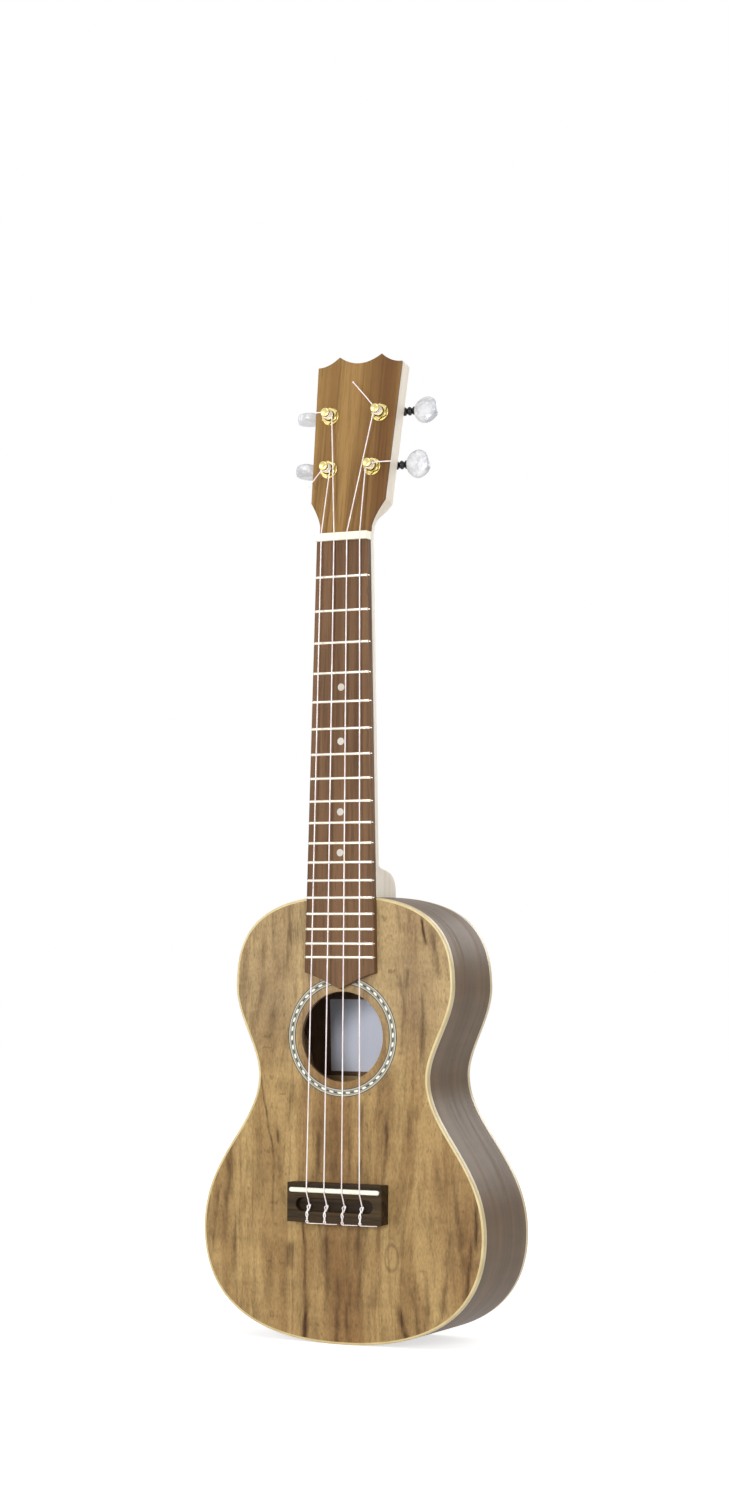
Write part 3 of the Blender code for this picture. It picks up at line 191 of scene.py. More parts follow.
def carved(target: Piece, tool: Piece) -> Piece:
    """Cuts one shell out of another and keeps the result as a plain mesh.

    Args:
        target: The object that is cut.
        tool: The cutter, which is used up.

    Returns:
        The target, with its new mesh.
    """
    cut = target.modifiers.new("cut", "BOOLEAN")
    cut.operation, cut.solver, cut.object = "DIFFERENCE", "EXACT", tool
    bpy.context.view_layer.update()
    result = target.evaluated_get(bpy.context.evaluated_depsgraph_get())
    mesh = bpy.data.meshes.new_from_object(result)
    target.modifiers.clear()
    target.data = smoothed(mesh)
    bpy.data.objects.remove(tool)
    return target


def soften(piece: Piece, width: float) -> Piece:
    """Rounds a piece's crisp edges by a width in metres."""
    bevel = piece.modifiers.new("soft_edges", "BEVEL")
    bevel.width, bevel.segments = width, 2
    bevel.limit_method, bevel.angle_limit = "ANGLE", math.radians(BEVEL_ANGLE)
    bevel.harden_normals = False
    return piece


def circle(steps: int) -> Array:
    """Points (steps, 2) at equal bearings on a circle of radius one: cos a, sin a."""
    angles = math.tau * np.arange(steps) / steps
    return np.column_stack([np.cos(angles), np.sin(angles)])


def on_level(outline: Array, depth: ArrayLike) -> Array:
    """Lifts (x, z) rows to points at a depth, which is one number or one for each row."""
    level = np.broadcast_to(depth, len(outline))
    return np.column_stack([outline[:, 0], level, outline[:, 1]])


def stadium(width: float, length: float, centre_z: float) -> Array:
    """A slot's outline with round ends: two half circles of radius length / 2 and the lines between.

    Args:
        width: Its whole size across.
        length: Its size up the neck.
        centre_z: Height of its middle.

    Returns:
        Rows of (x, z).
    """
    radius = length / 2
    angles = np.linspace(-math.pi / 2, math.pi / 2, 14)
    across = width / 2 - radius + radius * np.cos(angles)
    right = np.column_stack([across, centre_z + radius * np.sin(angles)])
    left = np.column_stack([-right[:, 0], 2 * centre_z - right[:, 1]])
    return np.vstack([right, left])


def block(name: str, low: Triple, high: Triple) -> Piece:
    """A plain box between two corners, used as a part of a piece or as a base that is finished later."""
    across = np.array([low[0], high[0], high[0], low[0]])
    depth = np.array([low[1], low[1], high[1], high[1]])
    return skin(name, [np.column_stack([across, depth, np.full(4, z)]) for z in (low[2], high[2])])


def on_head(x: ArrayLike, up: ArrayLike, out: ArrayLike) -> Array:
    """Carries places on the head into the nut's frame, by a turn of the head's tilt about X.

    Args:
        x: Distances across the head.
        up: Distances up its face, from the nut.
        out: Distances out of its face.

    Returns:
        Points with the arguments' shape and three numbers each.
    """
    tilt = math.radians(HEAD_TILT)
    x, up, out = np.broadcast_arrays(x, up, out)
    y = -HEAD_SETBACK + up * math.sin(tilt) - out * math.cos(tilt)
    z = NUT_LENGTH + up * math.cos(tilt) + out * math.sin(tilt)
    return np.stack([x, y, z], axis=-1)


def turned_on_head(name: str, profile: ArrayLike, centre: Pair, steps: int) -> Piece:
    """A turned piece whose axis stands out of the head's face.

    Each row of the profile is swept round the axis: across = radius cos a, up = radius sin a.

    Args:
        name: Name of the new object.
        profile: (radius, distance out of the face) rows.
        centre: Where the axis stands, across the head and up it.
        steps: Points round the axis.

    Returns:
        The closed piece.
    """
    radius, out = np.hsplit(np.asarray(profile), 2)
    across, up = circle(steps).T
    return skin(name, on_head(centre[0] + radius * across, centre[1] + radius * up, out))


def flowing(points: Array, density: int) -> Array:
    """A smooth path: between two points, a cubic whose ends keep the slope of their neighbours."""
    padded = np.vstack([2 * points[0] - points[1], points, 2 * points[-1] - points[-2]])
    a, b, c, d = (padded[i : len(padded) - 3 + i, None] for i in range(4))
    t = (np.arange(density) / density)[None, :, None]
    run = 0.5 * (2 * b + (c - a) * t + (2 * a - 5 * b + 4 * c - d) * t**2 + (3 * b - a - 3 * c + d) * t**3)
    return np.vstack([run.reshape(-1, 3), points[-1:]])


def rounded(points: Array, cut: float) -> Array:
    """A path of straight runs whose inner corners, cut off at a distance, become short parabolas."""
    before = points[1:-1] + cut * unit(points[:-2] - points[1:-1])
    after = points[1:-1] + cut * unit(points[2:] - points[1:-1])
    t = np.linspace(0.0, 1.0, 5)[None, :, None]
    bends = (1 - t) ** 2 * before[:, None] + 2 * t * (1 - t) * points[1:-1, None] + t**2 * after[:, None]
    return np.vstack([points[:1], bends.reshape(-1, 3), points[-1:]])


def unit(vectors: Array) -> Array:
    """The same directions with length one."""
    return vectors / np.linalg.norm(vectors, axis=-1, keepdims=True)


def travelled(path: Array) -> Array:
    """Distance along a path at each of its points: the sum of the steps before it."""
    return np.concatenate([[0.0], np.cumsum(np.linalg.norm(np.diff(path, axis=0), axis=1))])


def tube(name: str, path: Array, radius: ArrayLike, sides: int = 12) -> Piece:
    """A round tube along a path.

    A square frame is carried along the path with the least twist, and each ring is
    path + radius (cos a side + sin a lift). The pattern's first number runs round, its second along.

    Args:
        name: Name of the new object.
        path: Points (stations, 3) along the middle.
        radius: One radius, or one for each station.
        sides: Points round the tube.

    Returns:
        The closed tube.
    """
    tangents = unit(np.gradient(path, axis=0))
    side = np.empty_like(path)
    side[0] = unit(np.cross(tangents[0], (0.31, 0.77, 0.55)))
    for station in range(1, len(path)):
        flat = side[station - 1] - tangents[station] * (side[station - 1] @ tangents[station])
        side[station] = flat / np.linalg.norm(flat)
    lift = np.cross(tangents, side)
    across, up = circle(sides).T[:, None, :, None]
    reach = np.broadcast_to(radius, len(path))[:, None, None]
    grid = path[:, None] + reach * (across * side[:, None] + up * lift[:, None])
    around, along = np.meshgrid(np.arange(sides + 1) / sides, travelled(path))
    return skin(name, grid, uv=np.stack([around, along], axis=-1))


# Node trees


def tone(colour: Colour) -> tuple[float, float, float, float]:
    """A colour in everyday 0 to 255 values as the linear values that a shader takes."""
    share = np.array(colour) / 255.0
    linear = np.where(share <= 0.04045, share / 12.92, ((share + 0.055) / 1.055) ** 2.4)
    return (*linear.tolist(), 1.0)


class Net:
    """A node tree being drawn, with short ways to place its nodes and join them."""

    def __init__(self, tree: Tree) -> None:
        """Keeps the tree."""
        self.tree = tree

    def node(self, kind: str, **settings: object) -> Node:
        """Places a node of one kind and sets its options."""
        made = self.tree.nodes.new(kind)
        for key, value in settings.items():
            setattr(made, key, value)
        return made

    def feed(self, socket: Socket, value: object) -> None:
        """Joins an output to an input, or sets the input's own value."""
        if isinstance(value, Socket):
            self.tree.links.new(value, socket)
        else:
            socket.default_value = value

    def fed(self, node: Node, *values: object) -> Socket:
        """Feeds a node's first inputs in order and gives its first output."""
        for socket, value in zip(node.inputs, values):
            self.feed(socket, value)
        return node.outputs[0]

    def math(self, operation: str, *values: object, clamp: bool = False) -> Socket:
        """One Math node over one, two or three values."""
        return self.fed(self.node("ShaderNodeMath", operation=operation, use_clamp=clamp), *values)

    def times(self, first: object, second: object, clamp: bool = False) -> Socket:
        """One value times another."""
        return self.math("MULTIPLY", first, second, clamp=clamp)

    def vector(self, operation: str, first: object, second: object) -> Socket:
        """One Vector Math node over two vectors."""
        return self.fed(self.node("ShaderNodeVectorMath", operation=operation), first, second)

    def blend(self, share: object, first: object, second: object, mode: str = "MIX") -> Socket:
        """One colour laid over another by a share."""
        made = self.node("ShaderNodeMix", data_type="RGBA", blend_type=mode)
        for place, value in ((0, share), (6, first), (7, second)):
            self.feed(made.inputs[place], value)
        return made.outputs[2]

    def spread(
        self, value: object, low: float, high: float, to_low: float = 0.0, to_high: float = 1.0
    ) -> Socket:
        """Stretches a range of values over another, level outside it."""
        made = self.node("ShaderNodeMapRange", interpolation_type="SMOOTHSTEP")
        return self.fed(made, value, low, high, to_low, to_high)

    def noise(self, vector: object, scale: object, detail: float = 3.0, roughness: float = 0.5) -> Socket:
        """The value of a noise texture."""
        made = self.node("ShaderNodeTexNoise")
        values = {"Vector": vector, "Scale": scale, "Detail": detail, "Roughness": roughness}
        for label, value in values.items():
            self.feed(made.inputs[label], value)
        return made.outputs["Fac"]

    def split(self, vector: object) -> tuple[Socket, Socket, Socket]:
        """The three numbers of a vector."""
        made = self.node("ShaderNodeSeparateXYZ")
        self.feed(made.inputs[0], vector)
        return tuple(made.outputs)

    def gather(self, x: object, y: object, z: object) -> Socket:
        """A vector of three numbers."""
        return self.fed(self.node("ShaderNodeCombineXYZ"), x, y, z)

    def place(self) -> Socket:
        """Where a surface point is, counted from the nut's corner."""
        made = self.node("ShaderNodeMapping", vector_type="POINT")
        made.inputs["Location"].default_value = tuple(-NUT_CORNER)
        return self.fed(made, self.node("ShaderNodeTexCoord").outputs["Object"])

    def pattern(self) -> Socket:
        """The piece's own pattern coordinates."""
        return self.node("ShaderNodeTexCoord").outputs["UV"]

    def seen(self) -> Socket:
        """One for what the camera sees, by itself, in a gloss or through a clear piece, else nought."""
        rays = self.node("ShaderNodeLightPath").outputs
        direct = self.math("MAXIMUM", rays["Is Camera Ray"], rays["Is Glossy Ray"])
        return self.math("MAXIMUM", direct, rays["Is Transmission Ray"])

    def group(self, tree: Tree, **values: object) -> bpy.types.NodeOutputs:
        """Places a group, feeds the inputs that are named, with _ for a space, and gives its outputs."""
        made = self.node("ShaderNodeGroup", node_tree=tree)
        for key, value in values.items():
            self.feed(made.inputs[key.replace("_", " ")], value)
        return made.outputs


def open_group(
    name: str, inputs: dict[str, float | None], *outputs: str
) -> tuple[Net, bpy.types.NodeOutputs, bpy.types.NodeInputs]:
    """Starts a node group for an effect that several materials use.

    Args:
        name: The group's name.
        inputs: Each input's name and its usual value, or None for a vector.
        outputs: The outputs' names, all plain values.

    Returns:
        The group's net, the sockets that give its inputs and those that take its outputs.
    """
    tree = bpy.data.node_groups.new(name, "ShaderNodeTree")
    for label, usual in inputs.items():
        kind = "NodeSocketVector" if usual is None else "NodeSocketFloat"
        socket = tree.interface.new_socket(name=label, in_out="INPUT", socket_type=kind)
        if usual is not None:
            socket.default_value = usual
    for label in outputs:
        tree.interface.new_socket(name=label, in_out="OUTPUT", socket_type="NodeSocketFloat")
    net = Net(tree)
    return net, net.node("NodeGroupInput").outputs, net.node("NodeGroupOutput").inputs


@cache
def grain_group() -> Tree:
    """Wood grain that runs along its vector's third number: broad bands, fine lines and pores."""
    inputs = {"Vector": None, "Pitch": 300.0, "Stretch": 18.0, "Wander": 1.0}
    net, given, taken = open_group("wood_grain", inputs, "Bands", "Lines", "Pores")
    long_pitch = net.math("DIVIDE", given["Pitch"], given["Stretch"])
    scale = net.gather(given["Pitch"], given["Pitch"], long_pitch)
    stretched = net.vector("MULTIPLY", given["Vector"], scale)
    slow = net.noise(stretched, 0.13, 2.0)
    shift = net.times(net.math("SUBTRACT", slow, 0.5), given["Wander"])
    wavy = net.vector("ADD", stretched, net.gather(net.times(shift, 6.0), 0.0, 0.0))
    net.feed(taken["Bands"], net.noise(wavy, 0.3, 3.0))
    net.feed(taken["Lines"], net.noise(wavy, 1.0, 6.0, 0.62))
    ticks = net.noise(net.vector("MULTIPLY", wavy, (5.0, 5.0, 7.0)), 1.0, 1.5)
    net.feed(taken["Pores"], net.spread(ticks, 0.6, 0.7))
    return net.tree


@cache
def streak_group() -> Tree:
    """A soft dark line: exp(-(distance from its line / half width) squared), faded towards its ends."""
    inputs = {"Vector": None, "Wobble": 0.0, "Centre X": 0.0, "Centre Z": 0.0}
    inputs |= {"Half Width": 0.001, "Half Length": 0.02, "Lean": 0.0}
    net, given, taken = open_group("streak", inputs, "Mask")
    x, _, z = net.split(given["Vector"])
    rise = net.math("SUBTRACT", z, given["Centre Z"])
    line = net.math("MULTIPLY_ADD", rise, given["Lean"], given["Centre X"])
    off = net.math("SUBTRACT", net.math("SUBTRACT", x, line), given["Wobble"])
    ratio = net.math("DIVIDE", off, given["Half Width"])
    bell = net.math("EXPONENT", net.times(net.times(ratio, ratio), -1.0))
    reach = net.math("DIVIDE", net.math("ABSOLUTE", rise), given["Half Length"])
    net.feed(taken["Mask"], net.times(bell, net.spread(reach, 0.45, 1.0, 1.0, 0.0)))
    return net.tree


@cache
def smudge_group() -> Tree:
    """Handling marks: slow clouds and fine scratches, for roughness and bump on metal and plastic."""
    inputs = {"Vector": None, "Cloud Scale": 250.0, "Scratch Scale": 3500.0}
    net, given, taken = open_group("smudge", inputs, "Clouds", "Scratches")
    clouds = net.noise(given["Vector"], given["Cloud Scale"], 3.0)
    net.feed(taken["Clouds"], net.spread(clouds, 0.35, 0.7))
    thin = net.vector("MULTIPLY", given["Vector"], (1.0, 1.0, 0.08))
    net.feed(taken["Scratches"], net.noise(thin, given["Scratch Scale"], 2.0))
    return net.tree


# Finishes


class GrainRun(Enum):
    """Which way a piece's grain runs."""

    UP_THE_NECK = "up the neck"
    ACROSS = "across the instrument"
    ALONG_THE_PIECE = "along the piece's own pattern"


@dataclass(frozen=True)
class Finish:
    """A surface finish: a Principled shader, of which a subclass varies some inputs over the surface."""

    name: str
    roughness: float = 0.45
    metallic: float = 0.0
    coat: float = 0.0
    coat_roughness: float = 0.15
    gloss: float = 0.5

    def material(self) -> bpy.types.Material:
        """Draws the finish as a material."""
        made = bpy.data.materials.new(self.name)
        made.use_nodes = True
        net, shader = Net(made.node_tree), made.node_tree.nodes["Principled BSDF"]
        settings = {
            "Roughness": self.roughness, "Metallic": self.metallic, "Specular IOR Level": self.gloss,
            "Coat Weight": self.coat, "Coat Roughness": self.coat_roughness,
        }
        for label, value in (*settings.items(), *self.layers(net).items()):
            net.feed(shader.inputs[label], value)
        return made

    def layers(self, net: Net) -> dict[str, Socket]:
        """What changes over the surface, by the shader's inputs; each finish has its own way."""
        raise NotImplementedError

    @staticmethod
    def relief(net: Net, height: Socket, distance: float, strength: float) -> Socket:
        """The normal of a bump: a height from 0 to 1, times a distance in metres and a strength."""
        bump = net.node("ShaderNodeBump")
        for label, value in (("Strength", strength), ("Distance", distance), ("Height", height)):
            net.feed(bump.inputs[label], value)
        return bump.outputs[0]


@dataclass(frozen=True)
class Streak:
    """One dark streak of a board, in millimetres from the nut's corner.

    Lean is its shift across for each unit upwards, and strength how dark it is, from 0 to 1.
    """

    x: float
    z: float
    half_width: float
    half_length: float
    lean: float = 0.0
    strength: float = 0.6


def streaks(*rows: tuple[float, ...]) -> tuple[Streak, ...]:
    """Streaks from rows of their values."""
    return tuple(Streak(*row) for row in rows)


@dataclass(frozen=True)
class Wood(Finish):
    """A board's figure: bands between a light and a middle tone, dark lines, pores and placed streaks."""

    light: Colour = (190, 160, 115)
    middle: Colour = (170, 140, 98)
    dark: Colour = (120, 92, 62)
    warm: Colour = (150, 110, 74)
    run: GrainRun = GrainRun.UP_THE_NECK
    book_matched: bool = False
    lean: float = 0.0
    pitch: float = 300.0
    stretch: float = 18.0
    wander: float = 1.0
    line_amount: float = 0.45
    pore_amount: float = 0.35
    curl_amount: float = 0.0
    cloud_amount: float = 0.0
    fleck_amount: float = 0.0
    collar: float = 0.0
    collar_share: float = 0.32
    # Painted shade on the hole's wall: inside the rim's radius the dark tone is mixed in by the next share.
    rim: float = 0.0
    rim_share: float = 0.85
    # A greyer tone, mixed in by height towards the upper end, rising from nought to its share between the
    # two heights.
    faded: Colour | None = None
    faded_from: float = -0.235
    faded_to: float = -0.29
    faded_share: float = 0.32
    streaks: tuple[Streak, ...] = ()
    zones: tuple[Streak, ...] = ()
    knots: tuple[Streak, ...] = ()

    def vector(self, net: Net) -> Socket:
        """Where the wood's own grain coordinates come from: its third number runs along the grain."""
        if self.run is GrainRun.ALONG_THE_PIECE:
            along, depth, _ = net.split(net.pattern())
            return net.gather(depth, 0.0, along)
        x, y, z = net.split(net.place())
        if self.run is GrainRun.ACROSS:
            return net.gather(z, y, x)
        if self.book_matched:
            x = net.math("ABSOLUTE", x)
        if self.lean:
            sine, cosine = math.sin(math.radians(self.lean)), math.cos(math.radians(self.lean))
            across = net.math("MULTIPLY_ADD", z, -sine, net.times(y, cosine))
            z = net.math("MULTIPLY_ADD", z, cosine, net.times(y, sine))
            y = across
        return net.gather(x, y, z)

    def masks(self, net: Net, vector: Socket, marks: tuple[Streak, ...]) -> Socket:
        """The placed streaks together, as one share from 0 to 1.

        Args:
            net: The material's net.
            vector: Where each point is.
            marks: The streaks, one or more.

        Returns:
            The largest share that any streak gives at a point.
        """
        slow = net.vector("MULTIPLY", vector, (1.0, 1.0, 0.6))
        wobble = net.times(net.math("SUBTRACT", net.noise(slow, 62.0, 3.0), 0.5), 0.0062)
        total = None
        for mark in marks:
            (mask,) = net.group(
                streak_group(), Vector=vector, Wobble=wobble, Centre_X=mark.x / 1000,
                Centre_Z=mark.z / 1000, Half_Width=mark.half_width / 1000,
                Half_Length=mark.half_length / 1000, Lean=mark.lean,
            )
            share = net.times(mask, mark.strength)
            total = share if total is None else net.math("MAXIMUM", total, share)
        return total

    def swirl(self, net: Net, vector: Socket, knot: Streak) -> Socket:
        """Rings round a small knot: narrow ripples of the stretched distance from its middle."""
        x, _, z = net.split(vector)
        across = net.math("DIVIDE", net.math("SUBTRACT", x, knot.x / 1000), knot.half_width / 1000)
        rise = net.math("DIVIDE", net.math("SUBTRACT", z, knot.z / 1000), knot.half_length / 1000)
        distance = self.radius(net, across, rise)
        uneven = net.math("ADD", distance, net.times(net.noise(vector, 160.0, 2.0), 0.35))
        ripple = net.math("SINE", net.times(uneven, 8.0))
        near = net.times(net.spread(distance, 0.9, 1.6, 1.0, 0.0), net.spread(distance, 0.3, 0.7))
        return net.times(net.spread(ripple, 0.0, 1.0), near)

    @staticmethod
    def radius(net: Net, across: Socket, rise: Socket) -> Socket:
        """The square root of the sum of two squares."""
        return net.math("SQRT", net.math("MULTIPLY_ADD", across, across, net.times(rise, rise)))

    @staticmethod
    def shimmer(
        net: Net, base: Socket, vector: Socket, squash: float, scale: float, amount: float
    ) -> Socket:
        """Lightens and darkens a colour by a noise.

        Args:
            net: The material's net.
            base: The colour.
            vector: Where each point is.
            squash: How much shorter the noise is along the grain than across it.
            scale: The noise's scale.
            amount: The largest change, as a share of the colour.

        Returns:
            The changed colour.
        """
        value = net.noise(net.vector("MULTIPLY", vector, (1.0, 1.0, squash)), scale, 2.0)
        level = net.math("MULTIPLY_ADD", net.spread(value, 0.35, 0.65, -1.0, 1.0), amount, 1.0)
        return net.blend(1.0, base, net.gather(level, level, level), "MULTIPLY")

    def near_hole(self, net: Net, base: Socket, vector: Socket) -> Socket:
        """Warms the wood in the inlaid ring's inner edge and paints shade on the hole's wall."""
        x, _, z = net.split(vector)
        reach = self.radius(net, x, net.math("ADD", z, -HOLE_Z))
        # The second ring is painted shade on the hole's wall, in the dark tone.
        rings = ((self.collar, self.collar_share, self.warm), (self.rim, self.rim_share, self.dark))
        for radius, share, colour in rings:
            inside = net.math("LESS_THAN", reach, radius)
            base = net.blend(net.times(inside, share), base, tone(colour))
        return base

    def layers(self, net: Net) -> dict[str, Socket]:
        """Mixes the tones by the grain and the placed marks, and lowers the pores."""
        vector = self.vector(net)
        bands, lines, pores = net.group(
            grain_group(), Vector=vector, Pitch=self.pitch, Stretch=self.stretch, Wander=self.wander
        )
        dark = tone(self.dark)
        base = net.blend(net.spread(bands, 0.36, 0.64), tone(self.light), tone(self.middle))
        if self.zones:
            base = net.blend(self.masks(net, vector, self.zones), base, tone(self.warm))
        if self.cloud_amount:
            tall = net.vector("MULTIPLY", vector, (1.0, 1.0, 0.3))
            bent = net.vector("ADD", tall, net.gather(net.times(lines, 0.006), 0.0, 0.0))
            clouds = net.spread(net.noise(bent, 88.0, 5.0, 0.62), 0.47, 0.7)
            base = net.blend(net.times(clouds, self.cloud_amount), base, dark)
        if self.collar:
            base = self.near_hole(net, base, vector)
        # Mixes in the greyer tone by height towards the upper end.
        if self.faded:
            height = net.split(vector)[2]
            share = net.spread(height, self.faded_to, self.faded_from, 0.0, self.faded_share)
            base = net.blend(share, base, tone(self.faded))
        strong = net.spread(lines, 0.46, 0.68)
        base = net.blend(net.times(strong, self.line_amount), base, dark)
        if self.curl_amount:
            base = self.shimmer(net, base, vector, 5.0, 26.0, self.curl_amount)
        if self.streaks:
            torn = net.math("MULTIPLY_ADD", net.spread(lines, 0.35, 0.65), 0.7, 0.45)
            share = net.times(self.masks(net, vector, self.streaks), torn, clamp=True)
            base = net.blend(share, base, dark)
        for knot in self.knots:
            base = net.blend(net.times(self.swirl(net, vector, knot), knot.strength), base, dark)
        base = net.blend(net.times(pores, self.pore_amount), base, dark)
        if self.fleck_amount:
            base = self.shimmer(net, base, vector, 0.45, 950.0, self.fleck_amount)
        sunk = net.math("MULTIPLY_ADD", pores, -0.6, net.times(lines, -0.4))
        return {
            "Base Color": base, "Roughness": net.math("MULTIPLY_ADD", strong, 0.1, self.roughness),
            "Normal": self.relief(net, sunk, 0.00012, 0.35),
        }


@dataclass(frozen=True)
class RopeInlay(Finish):
    """A rope pattern between fine lines: the pattern's first number runs round, its second outwards.

    A dash is its phase, half its length in phase and half its height; a band is its two edges, as
    distances from the middle. Heights and edges are shares of the inlay's width.
    """

    repeats: int = 38
    slant: float = -0.5
    white: Colour = (238, 234, 218)
    pale: Colour = (184, 180, 164)
    ground: Colour = (140, 139, 124)
    fine_line: Colour = (52, 46, 38)
    ink: Colour = (46, 48, 44)
    white_dash: Triple = (0.25, 0.24, 0.12)
    ink_dash: Triple = (0.75, 0.23, 0.095)
    band_edges: tuple[float, ...] = (0.23, 0.26, 0.4, 0.51)

    def layers(self, net: Net) -> dict[str, Socket]:
        """Draws slanted pale and dark dashes in the middle, and bands of fine lines beside them."""
        turn, across, _ = net.split(net.pattern())
        centred = net.math("SUBTRACT", across, 0.5)
        slanted = net.times(centred, self.slant)
        phase = net.math("FRACT", net.math("MULTIPLY_ADD", turn, float(self.repeats), slanted))
        off = net.math("ABSOLUTE", centred)
        base: object = tone(self.ground)
        for (at, length, height), shade in ((self.white_dash, self.white), (self.ink_dash, self.ink)):
            along = net.math("ABSOLUTE", net.math("SUBTRACT", phase, at))
            powers = [
                net.math("POWER", net.math("DIVIDE", part, size), 3.0)
                for part, size in ((along, length), (off, height))
            ]
            base = net.blend(net.math("LESS_THAN", net.math("ADD", *powers), 1.0), base, tone(shade))
        shades = (self.fine_line, self.pale, self.fine_line)
        for low, high, shade in zip(self.band_edges, self.band_edges[1:], shades):
            inside = net.times(net.math("GREATER_THAN", off, low), net.math("LESS_THAN", off, high))
            base = net.blend(inside, base, tone(shade))
        worn = net.spread(net.noise(net.place(), 900.0, 2.0), 0.5, 0.8, 0.0, 0.2)
        return {"Base Color": net.blend(worn, base, tone(self.ground))}


@dataclass(frozen=True)
class Plastic(Finish):
    """Moulded or sawn plastic with faint clouds in its colour and fine handling marks."""

    shade: Colour = (235, 215, 165)
    cloud: Colour = (222, 198, 146)
    cloud_scale: float = 90.0

    def layers(self, net: Net) -> dict[str, Socket]:
        """Mixes the two shades by slow clouds and varies the gloss."""
        clouds, scratches = net.group(smudge_group(), Vector=net.place(), Cloud_Scale=self.cloud_scale)
        return {
            "Base Color": net.blend(clouds, tone(self.shade), tone(self.cloud)),
            "Roughness": net.math("MULTIPLY_ADD", scratches, 0.12, self.roughness - 0.06),
        }


@dataclass(frozen=True)
class Pearl(Finish):
    """Pearl-like plastic: curled clouds of white and grey, with short bright flakes."""

    pale: Colour = (218, 218, 221)
    grey: Colour = (188, 189, 193)
    bright: Colour = (252, 252, 252)

    def layers(self, net: Net) -> dict[str, Socket]:
        """Warps the place by one noise, then mixes the shades by a second."""
        place = net.place()
        swirl = net.times(net.math("SUBTRACT", net.noise(place, 120.0, 2.0), 0.5), 0.01)
        warped = net.vector("ADD", place, net.gather(swirl, swirl, swirl))
        clouds = net.spread(net.noise(warped, 190.0, 4.0, 0.6), 0.36, 0.62)
        base = net.blend(clouds, tone(self.grey), tone(self.pale))
        flakes = net.spread(net.noise(warped, 700.0, 1.0), 0.6, 0.68, 0.0, 0.4)
        return {
            "Base Color": net.blend(flakes, base, tone(self.bright)),
            "Roughness": net.math("MULTIPLY_ADD", clouds, 0.1, self.roughness),
        }


@dataclass(frozen=True)
class Metal(Finish):
    """Plated metal: one colour, duller where it is handled, with fine scratches."""

    metallic: float = 1.0
    shade: Colour = (226, 190, 96)
    dull: Colour = (190, 150, 70)

    def layers(self, net: Net) -> dict[str, Socket]:
        """Varies colour and roughness by the handling marks."""
        handled, scratches = net.group(smudge_group(), Vector=net.place())
        return {
            "Base Color": net.blend(net.times(handled, 0.5), tone(self.shade), tone(self.dull)),
            "Roughness": net.math("MULTIPLY_ADD", handled, 0.1, self.roughness),
            "Normal": self.relief(net, scratches, 0.00002, 0.25),
        }


@dataclass(frozen=True)
class Nylon(Finish):
    """Clear nylon string, pinkish white, slightly cloudier along some of its length."""

    shade: Colour = (246, 238, 236)
    cloud: Colour = (232, 218, 218)

    def layers(self, net: Net) -> dict[str, Socket]:
        """Mixes the shades by a slow noise along the string."""
        cloudy = net.spread(net.noise(net.place(), 140.0, 2.0), 0.4, 0.6)
        return {
            "Base Color": net.blend(cloudy, tone(self.shade), tone(self.cloud)),
            "Roughness": net.math("MULTIPLY_ADD", cloudy, 0.08, self.roughness),
        }


@dataclass(frozen=True)
class Paper(Finish):
    """Bare matt paper with faint fibres."""

    shade: Colour = (235, 239, 253)
    fibre: Colour = (222, 227, 244)

    def layers(self, net: Net) -> dict[str, Socket]:
        """Mixes the shades by a fine noise and raises it slightly."""
        fibres = net.noise(net.place(), 1400.0, 4.0)
        return {
            "Base Color": net.blend(fibres, tone(self.shade), tone(self.fibre)),
            "Normal": self.relief(net, fibres, 0.00003, 0.3),
        }


TOP_STREAKS = streaks(
    (-31, -207, 2.2, 26, 0.05, 0.55), (-47, -226, 1.8, 22, 0.08, 0.35), (-57, -222, 1.2, 18, 0.1, 0.25),
    (45.5, -203, 0.9, 9, -0.25, 1.1), (52, -214, 1.4, 16, -0.15, 0.5), (37, -228, 1.1, 8, 0.0, 0.95),
    (36, -246, 1.8, 28, 0.02, 0.45), (46, -250, 1.5, 30, 0.05, 0.4), (-41, -255, 3.2, 14, 0.1, 0.6),
    (-30, -292, 2.2, 16, 0.1, 0.45), (-43, -303, 0.7, 30, -0.16, 0.95), (-40, -338, 0.8, 18, 0.0, 0.75),
    (-37, -310, 1.0, 5, 0.0, 0.75), (11.5, -309, 1.0, 26, 0.03, 0.9), (-13, -311, 1.4, 22, 0.0, 0.55),
    (-3, -313, 1.2, 20, 0.0, 0.6), (5, -318, 0.9, 16, 0.0, 0.4), (25, -316, 1.2, 22, 0.05, 0.9),
    (33, -296, 0.9, 14, 0.05, 0.35), (-67, -342, 2.2, 34, 0.05, 0.75), (-73, -355, 1.0, 24, 0.1, 0.6),
    (-62, -366, 1.4, 24, 0.05, 0.5), (-30, -371, 3.4, 9, 0.0, 0.75), (-21, -374, 0.9, 28, 0.0, 1.0),
    (-20.5, -404, 1.7, 20, 0.0, 1.15), (-8, -378, 1.3, 30, 0.02, 0.65), (-2, -398, 2.0, 24, 0.02, 0.75),
    (4, -382, 1.6, 36, 0.02, 0.7), (10, -379, 1.8, 26, -0.02, 0.6), (16, -404, 1.0, 16, 0.0, 0.4),
    (36, -404, 1.9, 13, -0.35, 1.1), (43, -398, 1.4, 15, -0.2, 0.65), (49, -388, 1.2, 18, -0.1, 0.45),
    (66, -350, 2.0, 36, -0.1, 0.6), (76, -350, 1.6, 18, 0.0, 1.1), (72, -374, 1.3, 20, 0.1, 0.75),
    (57, -393, 1.8, 18, 0.15, 0.5), (55, -330, 1.4, 24, -0.1, 0.35),
)
